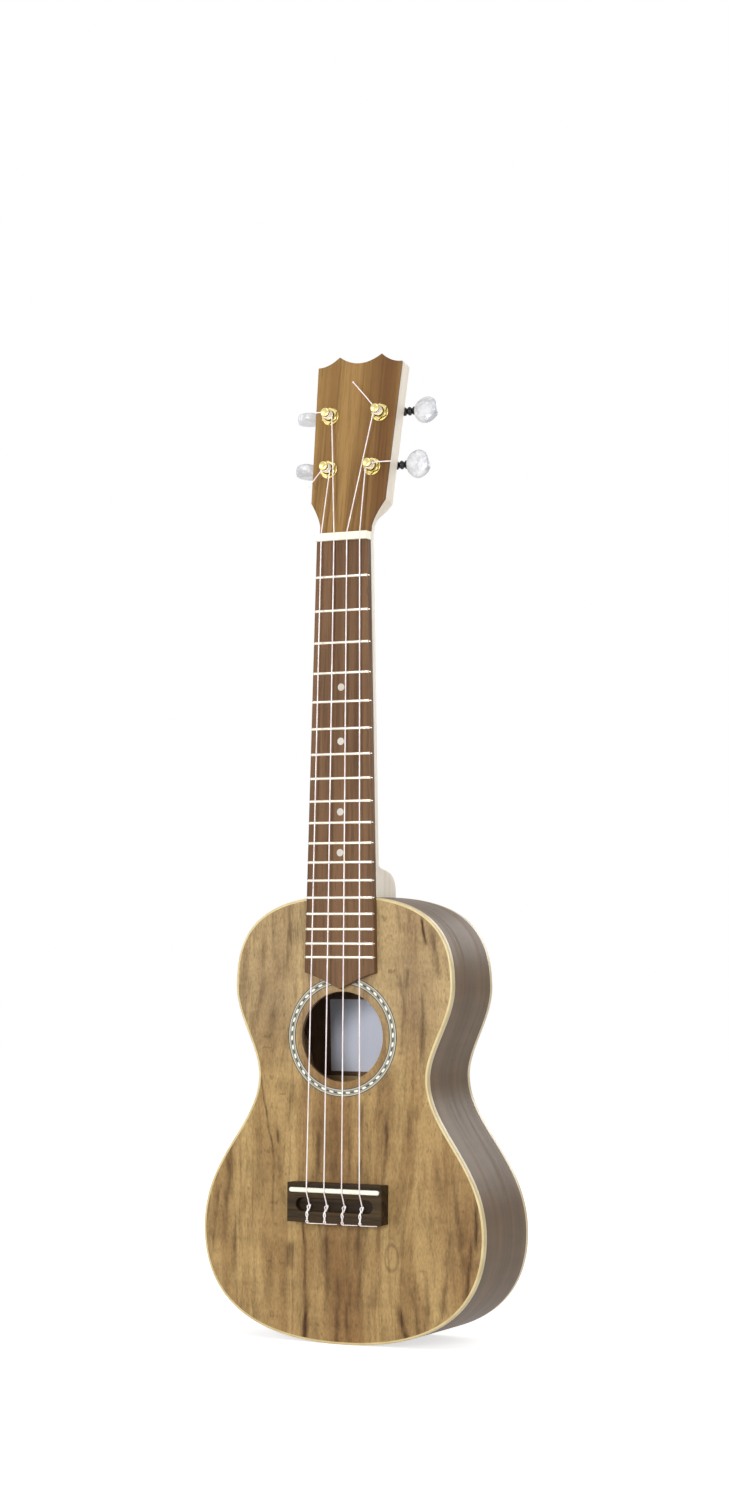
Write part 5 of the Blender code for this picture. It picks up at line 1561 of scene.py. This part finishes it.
@dataclass
class TuningMachine:
    """One geared tuning machine: bushing, post with gear, worm with stem, and button."""

    palette: Palette
    place: Place
    centre: Pair
    button_turn: float
    tail_direction: float
    barrel_radius: float = 0.0035
    barrel_depth: float = 0.0055
    washer_radius: float = 0.0047
    washer_top: float = 0.0008
    hexagon_radius: float = 0.0041
    bushing_top: float = 0.0026
    bore_play: float = 0.0003
    post_radius: float = 0.0025
    neck_radius: float = 0.002
    waist_radius: float = 0.0019
    waist_low: float = 0.003
    waist_high: float = 0.00694
    post_top: float = 0.00814
    dome_rise: float = 0.0006
    hole_out: float = 0.00628
    hole_radius: float = 0.00045
    head_back: float = 0.0098
    plate_back: float = 0.0111
    worm_depth: float = 0.014
    centre_distance: float = 0.0052
    gear_pitch_radius: float = 0.0034
    worm_pitch_radius: float = 0.0018
    teeth: int = 12
    flank_angle: float = math.radians(20.0)
    addendum: float = 0.0005
    dedendum: float = 0.0007
    play: float = 0.00023
    gear_thickness: float = 0.0026
    gear_screw_radius: float = 0.0023
    worm_length: float = 0.0066
    shaft_radius: float = 0.0012
    lug_at: float = 0.0044
    stem_start: float = 0.0066
    stem_radius: float = 0.00235
    stem_waist: float = 0.00155
    button_start: float = 0.0137
    button_length: float = 0.0124
    button_height: float = 0.015
    button_thickness: float = 0.0061
    button_squareness: float = 0.75
    button_end_turn: float = math.radians(22.0)
    button_tip_turn: float = math.radians(9.0)

    @property
    def side(self) -> float:
        """1 on the treble side, -1 on the bass side."""
        return Side[self.place.name.split("_")[0]].value

    @property
    def pitch(self) -> float:
        """Distance from one turn of the worm's thread to the next."""
        return math.tau * self.gear_pitch_radius / self.teeth

    @property
    def tooth(self) -> Pair:
        """Half a tooth's thickness at its tip and at its root, from the flank's slope."""
        half, slope = (self.pitch / 2 - self.play) / 2, math.tan(self.flank_angle)
        return half - self.addendum * slope, half + self.dedendum * slope

    def build(self) -> None:
        """Builds and dresses the machine on its three bodies."""
        look, name = self.palette, self.place.value
        key, post = f"tuner_key_{name}", f"string_post_{name}"
        look.dress(self.bushing(), look.gold, "gold_metal", f"bushing_{name}")
        look.dress(self.post(), look.gold, "gold_metal", f"post_{name}", body=post)
        look.dress(self.worm(), look.black_metal, "black_metal", f"worm_{name}", body=key)
        look.dress(self.button(), look.pearl, "pearl", f"button_{name}", body=key)

    def round_post(self, radius: ArrayLike, angles: Array, out: ArrayLike) -> Array:
        """Points round the post: across = radius cos a, up = radius sin a, at a distance out."""
        x, up = self.centre
        return on_head(x + radius * np.cos(angles), up + radius * np.sin(angles), out)

    def bushing(self) -> Piece:
        """Washer, hexagon with chamfered corners and barrel, as one ring round the post's hole.

        The hexagon's radius is flats / cos of the angle from the nearest flat, held below a cone.
        """
        angles = math.tau * np.arange(72) / 72
        wedge = np.abs(np.mod(angles, math.pi / 3) - math.pi / 6)
        hexagon = self.hexagon_radius / np.cos(math.pi / 6 - wedge)
        barrel, hole = self.barrel_radius, self.post_radius + self.bore_play
        washer, rim, top = self.washer_radius, self.washer_top, self.bushing_top
        levels = (
            (barrel, -self.barrel_depth), (barrel, 0.0), (washer - 0.0002, 0.00002), (washer, 0.0002),
            (washer, rim - 0.0002), (washer - 0.0002, rim), (hexagon, rim), (hexagon, top - 0.0005),
            (np.minimum(hexagon, 0.0043), top - 0.0003), (np.minimum(hexagon, 0.004), top),
            (hole + 0.0003, top), (hole, top - 0.0003), (hole, -self.barrel_depth),
        )
        rows = [self.round_post(radius, angles, out) for radius, out in levels]
        return skin(f"hex_bushing_{self.place.value}", rows, Ends.JOINED, crease=25.0)

    def post(self) -> Piece:
        """The post with its waist, its domed cap, its cross hole, its gear and its slotted screw."""
        radius, low, high, top = self.post_radius, self.waist_low, self.waist_high, self.post_top
        angles = np.linspace(0.0, math.pi / 2, 7)[1:]
        dome_out = top + self.dome_rise * (np.sin(angles) - 1)
        dome = np.column_stack([0.0023 * np.cos(angles) + 0.0001, dome_out])
        profile = (
            (self.neck_radius, -self.worm_depth), (self.neck_radius, -self.head_back),
            (radius, -self.head_back + 0.0001), (radius, low - 0.0003), (radius - 0.0003, low),
            (self.waist_radius, low + 0.0002), (self.waist_radius, high - 0.0002),
            (radius - 0.0003, high), (radius, high + 0.0002), (radius, top - 0.0008),
            (radius - 0.0001, top - self.dome_rise), *dome,
        )
        name = self.place.value
        barrel = turned_on_head(f"barrel_{name}", profile, self.centre, 48)
        path = self.round_post(np.linspace(-0.004, 0.004, 5), self.tail_direction, self.hole_out)
        barrel = carved(barrel, tube("cross_hole", path, self.hole_radius, 16))
        back, screw_radius = -self.worm_depth - self.gear_thickness / 2, self.gear_screw_radius
        head = (
            (0.001, back - 0.0011), (0.0019, back - 0.001), (screw_radius, back - 0.0006),
            (screw_radius, back + 0.0002),
        )
        screw = carved(
            turned_on_head(f"gear_screw_{name}", head, self.centre, 36),
            bar_on_head(self.centre, (0.003, 0.0003), (back - 0.0013, back - 0.0007)),
        )
        return joined(f"string_post_{name}_turned", [barrel, self.gear(), screw])

    def gear(self) -> Piece:
        """The gear: its toothed outline twists along its thickness by the worm's lead."""
        tip, root = self.gear_pitch_radius + self.addendum, self.gear_pitch_radius - self.dedendum
        tip_half, root_half = self.tooth[0] / tip, self.tooth[1] / root
        middle = math.pi / 2 + math.tau * np.arange(self.teeth) / self.teeth
        offsets = np.array([-root_half * 1.25, -root_half, -tip_half, -tip_half * 0.3])
        offsets = np.concatenate([offsets, -offsets[::-1]])
        radii = np.array([root, root + 0.0001, tip - 0.0001, tip])
        radius = np.tile(np.concatenate([radii, radii[::-1]]), self.teeth)
        half = self.gear_thickness / 2
        rows = []
        for out, shrink in ((-half, 0.96), (-half + 0.0002, 1.0), (half - 0.0002, 1.0), (half, 0.96)):
            twist = out * self.pitch / (math.tau * self.worm_pitch_radius) / self.gear_pitch_radius
            angle = (middle[:, None] + twist + offsets).ravel()
            rows.append(self.round_post(shrink * radius, angle, out - self.worm_depth))
        return skin(f"worm_gear_{self.place.value}", rows, crease=25.0)

    def round_key(self, name: str, along: Array, up: Array, out: Array, crease: float) -> Piece:
        """Skins rows of points given along the key's axis, which lies across the head, and from it.

        Args:
            name: Name of the new object.
            along: Distance of each row from the post, towards the button.
            up: Distances (rows, columns) from the axis up the head.
            out: Distances from it out of the head.
            crease: Edges sharper than this, in degrees, stay crisp.

        Returns:
            The closed piece.
        """
        x = self.centre[0] + self.side * along[:, None]
        rows = on_head(x, self.centre[1] + self.centre_distance + up, out - self.worm_depth)
        return skin(name, rows, crease=crease)

    def worm(self) -> Piece:
        """The worm on its shaft with the double-waisted stem.

        The thread's radius falls from crest to root with the distance from a right-handed helix.
        """
        steps, half, shaft = 32, self.worm_length / 2, self.shaft_radius
        angles = math.tau * np.arange(steps) / steps
        (crest, foot), pitch = self.tooth, self.pitch
        outer, root = self.worm_pitch_radius + self.addendum, self.worm_pitch_radius - self.dedendum
        along = np.linspace(-half, half, 60)
        offset = self.side * along[:, None] - pitch * angles / math.tau + pitch / 2
        offset = np.abs(np.mod(offset, pitch) - pitch / 2)
        thread = outer + (root - outer) * np.clip((offset - crest) / (foot - crest), 0.0, 1.0)
        t = np.linspace(0.0, 1.0, 41)
        wave = 0.5 + 0.5 * np.cos(math.tau * np.clip((t - 0.1) / 0.8, 0.0, 1.0) * 2)
        stem = self.stem_waist + (self.stem_radius - self.stem_waist) * wave
        stem[[0, -1]] -= 0.0002
        start, end, far = self.stem_start, self.button_start - 0.00005, -self.lug_at - 0.001
        before = np.array([(0.7 * shaft, far), (shaft, far + 0.0003), (shaft, -half - 0.0001)])
        after = np.array([
            (shaft, half + 0.0001), (shaft, start - 0.0001), *zip(stem, start + (end - start) * t),
            (shaft, end + 0.0001), (shaft, self.button_start + 0.0068),
        ])
        plain = np.zeros(steps)
        radius = np.vstack([before[:, :1] + plain, thread, after[:, :1] + plain])
        along = np.concatenate([before[:, 1], along, after[:, 1]])
        name = f"worm_shaft_{self.place.value}"
        return self.round_key(name, along, radius * np.cos(angles), radius * np.sin(angles), 50.0)

    def button(self) -> Piece:
        """The button: a lens whose outline is a superellipse, narrowed towards both ends and turned."""
        angles = math.tau * (np.arange(56) + 0.5) / 56
        wave = np.array([np.cos(angles), np.sin(angles)])
        wide, deep = np.sign(wave) * np.abs(wave) ** self.button_squareness
        turn = np.linspace(math.pi - self.button_end_turn, self.button_tip_turn, 29)
        reach = np.cos(turn)
        along = self.button_start + self.button_length * (reach - reach[0]) / (reach[-1] - reach[0])
        shrink = np.ones(len(turn))
        shrink[[0, -1]] = 0.9, 0.8
        height = self.button_height / 2 * (np.sin(turn) * shrink)[:, None] * wide
        thickness = self.button_thickness / 2 * (np.sin(turn) ** 0.18 * shrink)[:, None] * deep
        sine, cosine = math.sin(self.button_turn), math.cos(self.button_turn)
        up, out = height * cosine - thickness * sine, height * sine + thickness * cosine
        return self.round_key(f"pearl_button_{self.place.value}", along, up, out, 60.0)


def bar_on_head(centre: Pair, half: Pair, outs: Pair) -> Piece:
    """A thin bar that cuts a screw's slot.

    Args:
        centre: Its middle, across the head and up it.
        half: Half its size in each of these directions.
        outs: How far out of the head's face it starts and ends.

    Returns:
        The cutter.
    """
    corners = np.array(SQUARE) * half + centre
    return skin("slot_bar", [on_head(*corners.T, out) for out in outs])


@dataclass
class TunerPlate:
    """The plate behind one side of the head, with its lugs and screws."""

    palette: Palette
    side: Side
    machines: tuple[TuningMachine, TuningMachine]
    width: float = 0.013
    reach: float = 0.0125
    thickness: float = 0.001
    post_hole_radius: float = 0.0023
    lug_width: float = 0.0052
    lug_thickness: float = 0.001
    lug_hole_radius: float = 0.0015
    screw_radius: float = 0.0019
    screw_inset: float = 0.003
    slot_reach: float = 0.0011
    slot_half_width: float = 0.00022

    def build(self) -> None:
        """Builds and dresses the plate."""
        look = self.palette
        look.dress(self.plate(), look.gold, "gold_metal", f"tuner_plate_{self.side.label}")

    def plate(self) -> Piece:
        """Plate, lugs and cross-slotted screws as one piece."""
        upper, lower = (np.array(machine.centre) for machine in self.machines)
        back, half = -self.machines[0].plate_back, (self.width / 2, 0)
        front = back + self.thickness
        along = unit(upper - lower)
        low, high = lower - along * self.reach, upper + along * self.reach
        corners = np.array([low - half, low + half, high + half, high - half])
        base = skin("plate_base", [on_head(*corners.T, out) for out in (front, back)])
        shells = [
            self.lug(machine, machine.centre[0] + side * machine.lug_at)
            for machine in self.machines
            for side in (-1.0, 1.0)
        ]
        for spot in (low + along * self.screw_inset, (upper + lower) / 2, high - along * self.screw_inset):
            shells.append(self.screw(spot, back))
        profile = ((self.post_hole_radius, back - 0.001), (self.post_hole_radius, front + 0.0003))
        holes = [turned_on_head("post_pass", profile, machine.centre, 32) for machine in self.machines]
        base = carved(base, joined("post_passes", holes))
        return soften(joined(f"tuner_plate_{self.side.label}_pressed", [base, *shells]), 0.0002)

    def lug(self, machine: TuningMachine, x: float) -> Piece:
        """One lug: a tongue with a round end about the key's shaft, and the hole that the shaft turns in.

        Args:
            machine: The machine whose shaft it holds.
            x: Its middle across the head.

        Returns:
            The lug.
        """
        radius, depth = self.lug_width / 2, machine.worm_depth
        angles = np.linspace(math.pi, math.tau, 15)
        up, root = machine.centre[1] + machine.centre_distance, -machine.plate_back + 0.0002
        out = np.concatenate([[root], -depth + radius * np.sin(angles), [root]])
        across = np.concatenate([[-radius], radius * np.cos(angles), [radius]]) + up
        half = self.lug_thickness / 2
        rows = [on_head(place, across, out) for place in (x - half, x + half)]
        tongue = skin("lug_tongue", rows, crease=30.0)
        ring_up, ring_out = (self.lug_hole_radius * circle(24) + (up, -depth)).T
        rows = [on_head(place, ring_up, ring_out) for place in (x - 0.002, x + 0.002)]
        return carved(tongue, skin("shaft_pass", rows))

    def screw(self, spot: Array, back: float) -> Piece:
        """A domed screw head with a crossed recess.

        Args:
            spot: Its middle, across the head and up it.
            back: How far out of the head's face the plate's back lies, below nought.

        Returns:
            The head.
        """
        heights = ((1.0, -0.0003), (1.0, 0.0003), (0.88, 0.0006), (0.62, 0.0008), (0.3, 0.0009))
        profile = [(share * self.screw_radius, back - height) for share, height in heights]
        head = turned_on_head("screw_head", profile, spot, 36)
        half = (self.slot_reach, self.slot_half_width)
        for size in (half, half[::-1]):
            head = carved(head, bar_on_head(spot, size, (back - 0.0012, back - 0.0005)))
        return head


@dataclass
class GuitarString:
    """One nylon string, its tie at the bridge and its loose end at the post."""

    layout: Layout
    bridge: Bridge
    machine: TuningMachine
    index: int
    tail_end: Pair
    tie_tail: float
    tail_blob: float = 0.0
    winding_radius: float = 0.00228
    winding_low: float = 0.00363
    last_rise: float = 0.0007
    fewest_turns: float = 1.7
    saddle_crest: float = 0.00028
    bend: float = 0.00045

    def build(self) -> None:
        """Builds and dresses the string's three pieces."""
        look, number, radius = self.bridge.palette, self.index + 1, self.layout.string_radius
        main = tube(f"nylon_string_{number}", self.route(), radius, 14)
        look.dress(main, look.nylon, "clear_string", f"string_{number}")
        path = self.tie()
        slim = np.where(np.arange(len(path)) < 0.88 * len(path), 0.96, 0.72)
        look.dress(tube(f"bridge_tie_{number}", path, radius * slim), look.nylon, "clear_string")
        path = self.tail()
        loose = tube(f"string_end_{number}", path, radius * 0.97)
        if self.tail_blob:
            along = 2 * np.linspace(0.02, 0.98, 11) - 1
            ball = path[-1] + unit(path[-1] - path[-2]) * along[:, None] * self.tail_blob
            melted = tube("melted_end", ball, self.tail_blob * np.sqrt(1 - along**2))
            loose = joined(f"string_end_{number}", [loose, melted])
        look.dress(loose, look.nylon, "clear_string", body=f"string_post_{self.machine.place.value}")

    def route(self) -> Array:
        """The string's middle line: tie hole, saddle, nut, then turns that climb the post.

        The straight run meets the turns along a tangent, so its first angle is the bearing of the
        post less the arc sine of the turns' radius over the distance.
        """
        layout, bridge, machine = self.layout, self.bridge, self.machine
        x0 = layout.string_x(self.index, layout.saddle_spread)
        x1 = layout.string_x(self.index, layout.nut_spread)
        hole_y, saddle_y = layout.bridge_top + bridge.hole_drop, layout.saddle_string_y + self.saddle_crest
        crest = 0.3 * bridge.saddle_thickness
        corners = [
            (x0, hole_y, bridge.lower_edge + 0.0002), (x0, hole_y, bridge.slot_end),
            (x0 + 0.0004, hole_y - 0.0002, bridge.slot_end + 0.0028),
            (x0, saddle_y, layout.saddle_z - crest), (x0, saddle_y, layout.saddle_z + crest),
            (x1, layout.nut_string_y, 0.0005), (x1, layout.nut_string_y, NUT_LENGTH - 0.0005),
        ]
        sense = -machine.side
        away = np.array(machine.centre) - (x1, 0.0)
        lead = math.asin(self.winding_radius / np.linalg.norm(away))
        bearing = math.atan2(away[1], away[0]) - sense * lead
        first = bearing - sense * math.pi / 2
        last = machine.tail_direction + math.pi
        part = (sense * (last - first) / math.tau - self.fewest_turns) % 1.0
        turns = self.fewest_turns + part
        share = np.linspace(0.0, 1.0, round(turns * 40) + 1)
        climb = machine.hole_out - self.last_rise - self.winding_low
        lift = self.last_rise * np.clip((share - 0.92) / 0.08, 0.0, 1.0) ** 2
        out = self.winding_low + climb * share + lift
        winding = machine.round_post(self.winding_radius, first + sense * math.tau * turns * share, out)
        straight = rounded(np.vstack([corners, winding[:1]]), self.bend)
        return np.vstack([straight[:-1], winding])

    def tie(self) -> Array:
        """The knot: over the tie block, round the string in the slot, and back twisted on itself.

        Each turn is its place across, then a level and a height with what is added to them, all
        three additions in tenths of a millimetre.
        """
        x = self.layout.string_x(self.index, self.layout.saddle_spread)
        top = self.layout.bridge_top - self.layout.string_radius
        hole = self.layout.bridge_top + self.bridge.hole_drop
        low, wall = self.bridge.lower_edge, self.bridge.slot_end
        step, knot, fine = (wall - low) / 4, wall + 0.0027, 0.0001
        tail = self.tie_tail / fine
        turns = [
            (0, hole, 0, low, -2), (1, hole, -6, low, -6), (2, top, 6, low, -4),
            (5, top, 0, low + 0.4 * step, 0), (-2, top, -1, low + 1.4 * step, 0),
            (5, top, -1, low + 2.5 * step, 0), (2, top, 0, wall, -2), (8, top, 4, wall, 10),
            (11, hole, -10, knot, -6), (10, hole, -2, knot, 4), (1, hole, 3, knot, 6),
            (-6, hole, -6, knot, -2), (-1, hole, -14, knot, -10), (4, top, -1, wall, 8),
            (-4, top, -2, wall - 0.5 * step, 0), (-2, top, -6, low + 2.4 * step, 0),
            (4, top, -3, low + 1.5 * step, 0), (-4, top, -3, low + 0.5 * step, 0), (-2, top, 1, low, -2),
            (9, top, 7, low, -5), (0.45 * tail, top, 8, low, -5), (tail, top, 9, low, -4),
        ]
        points = [(x + a * fine, y + b * fine, z + c * fine) for a, y, b, z, c in turns]
        return flowing(np.array(points), 6)

    def tail(self) -> Array:
        """The loose end: in at the last turn, through the post's hole, then out to its tip."""
        machine, tip = self.machine, np.array(self.tail_end)
        reach = 0.45 * np.linalg.norm(tip - machine.centre)
        along = np.array([-self.winding_radius, 0.0, 0.003, reach])
        out = machine.hole_out + np.array([0, 0, 0, 0.0004])
        through = machine.round_post(along, machine.tail_direction, out)
        return flowing(np.vstack([through, on_head(*tip, machine.hole_out + 0.0009)]), 7)


# Studio and order of building


@dataclass
class Studio:
    """Plain pale floor, soft light and the camera."""

    camera_place: Triple = (0.6384, -1.3005, -0.2262)
    forward: Triple = (-0.435, 0.8991, 0.0497)
    upward: Triple = (0.016, -0.0475, 0.9987)
    lens: float = 66.85
    lift: float = 0.0467
    aim: Triple = (0.0, 0.0, -0.2)
    ambient: float = 0.42
    floor_reach: float = 4.0
    floor_shade: float = 0.8
    floor_glow: float = 0.665

    def build(self) -> None:
        """Places the camera, the lights, the world and the floor."""
        self.camera()
        self.light("key", (0.1, -1.75, -0.02), 0.5, 17.0)
        self.light("left", (-1.3, -1.3, 0.45), 1.0, 7.0)
        self.light("right", (1.6, -1.0, 0.25), 1.0, 5.0)
        self.light("high", (0.2, -0.8, 1.5), 0.9, 4.0)
        self.light("behind", (0.5, 1.8, 0.6), 1.2, 12.0)
        self.world()
        self.floor()

    def camera(self) -> None:
        """A camera at the photograph's place and angle."""
        data = bpy.data.cameras.new("camera")
        data.sensor_fit, data.sensor_height, data.lens = "VERTICAL", 36.0, self.lens
        data.shift_y, data.clip_start, data.clip_end = self.lift, 0.01, 50.0
        made = linked("camera", data)
        ahead = Vector(self.forward).normalized()
        right = ahead.cross(Vector(self.upward)).normalized()
        turn = Matrix((right, right.cross(ahead), -ahead)).transposed().to_4x4()
        made.matrix_world = Matrix.Translation(self.camera_place) @ turn
        bpy.context.scene.camera = made

    def light(self, name: str, place: Triple, size: float, power: float) -> None:
        """A square soft light that faces the middle of the instrument.

        Args:
            name: Name of the light.
            place: Where it hangs.
            size: Length of its side in metres.
            power: Its power in watts.
        """
        data = bpy.data.lights.new(name, "AREA")
        data.shape, data.size, data.energy = "SQUARE", size, power
        turn = (Vector(self.aim) - Vector(place)).to_track_quat("-Z", "Y").to_matrix().to_4x4()
        linked(name, data).matrix_world = Matrix.Translation(place) @ turn

    def world(self) -> None:
        """A white surround for what the camera, gloss and clear pieces see, and softer light from it."""
        world = bpy.data.worlds.new("surround")
        bpy.context.scene.world = world
        world.use_nodes = True
        net, back = Net(world.node_tree), world.node_tree.nodes["Background"].inputs
        net.feed(back["Color"], (1.0, 1.0, 1.0, 1.0))
        net.feed(back["Strength"], net.math("MULTIPLY_ADD", net.seen(), 1.0 - self.ambient, self.ambient))

    def floor(self) -> None:
        """A wide floor at the instrument's lowest point, white to the camera but for the soft shadow."""
        low, reach = float(CAD_BOX[0][2]), self.floor_reach
        mesh = bpy.data.meshes.new("floor")
        mesh.from_pydata([(x * reach, y * reach, low) for x, y in SQUARE], [], [(0, 1, 2, 3)])
        made = linked("floor", mesh)
        material = bpy.data.materials.new("pale_floor")
        material.use_nodes = True
        net = Net(material.node_tree)
        settings = {
            "Base Color": (*[self.floor_shade] * 3, 1.0), "Roughness": 1.0, "Specular IOR Level": 0.0,
            "Emission Color": (1.0, 1.0, 1.0, 1.0),
            "Emission Strength": net.times(net.seen(), self.floor_glow),
        }
        for label, value in settings.items():
            net.feed(material.node_tree.nodes["Principled BSDF"].inputs[label], value)
        mesh.materials.append(material)


def machines(palette: Palette) -> dict[Place, TuningMachine]:
    """The four tuning machines.

    Args:
        palette: The finishes.

    Returns:
        Each machine by its place.
    """
    places = {
        Place.BASS_UPPER: ((-0.0145, 0.0654), 96.0, 173.0),
        Place.BASS_LOWER: ((-0.0126, 0.0356), 86.0, 238.0),
        Place.TREBLE_UPPER: ((0.0145, 0.0654), -8.0, 131.0),
        Place.TREBLE_LOWER: ((0.0126, 0.0356), 8.0, 0.0),
    }
    return {
        place: TuningMachine(palette, place, centre, math.radians(turn), math.radians(tail))
        for place, (centre, turn, tail) in places.items()
    }


def write_sizes() -> None:
    """Brings the view layer up to date."""
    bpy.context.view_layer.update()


def main() -> None:
    """Builds the studio and every sub-assembly in order."""
    logging.basicConfig(level=logging.INFO, format="%(message)s")
    bpy.context.scene.view_settings.view_transform = "Standard"
    Studio().build()
    palette, layout = Palette(), Layout()
    box = Soundbox(palette)
    box.build()
    Fingerboard(palette, layout).build()
    bridge = Bridge(palette, layout)
    bridge.build()
    tuners = machines(palette)
    Neck(palette, layout, box, tuple(tuner.centre for tuner in tuners.values())).build()
    for tuner in tuners.values():
        tuner.build()
    pairs = {
        Side.BASS: (Place.BASS_UPPER, Place.BASS_LOWER),
        Side.TREBLE: (Place.TREBLE_UPPER, Place.TREBLE_LOWER),
    }
    for side, (upper, lower) in pairs.items():
        TunerPlate(palette, side, (tuners[upper], tuners[lower])).build()
    ends = (
        (Place.BASS_LOWER, (-0.0202, 0.0241), 0.0089, 0.0),
        (Place.BASS_UPPER, (-0.0203, 0.0655), 0.0067, 0.0),
        (Place.TREBLE_UPPER, (0.0006, 0.0808), 0.0083, 0.00055),
        (Place.TREBLE_LOWER, (0.0269, 0.0352), 0.0092, 0.0),
    )
    for index, (place, tip, tie_tail, blob) in enumerate(ends):
        GuitarString(layout, bridge, tuners[place], index, tip, tie_tail, blob).build()
    write_sizes()


if __name__ == "__main__":
    main()
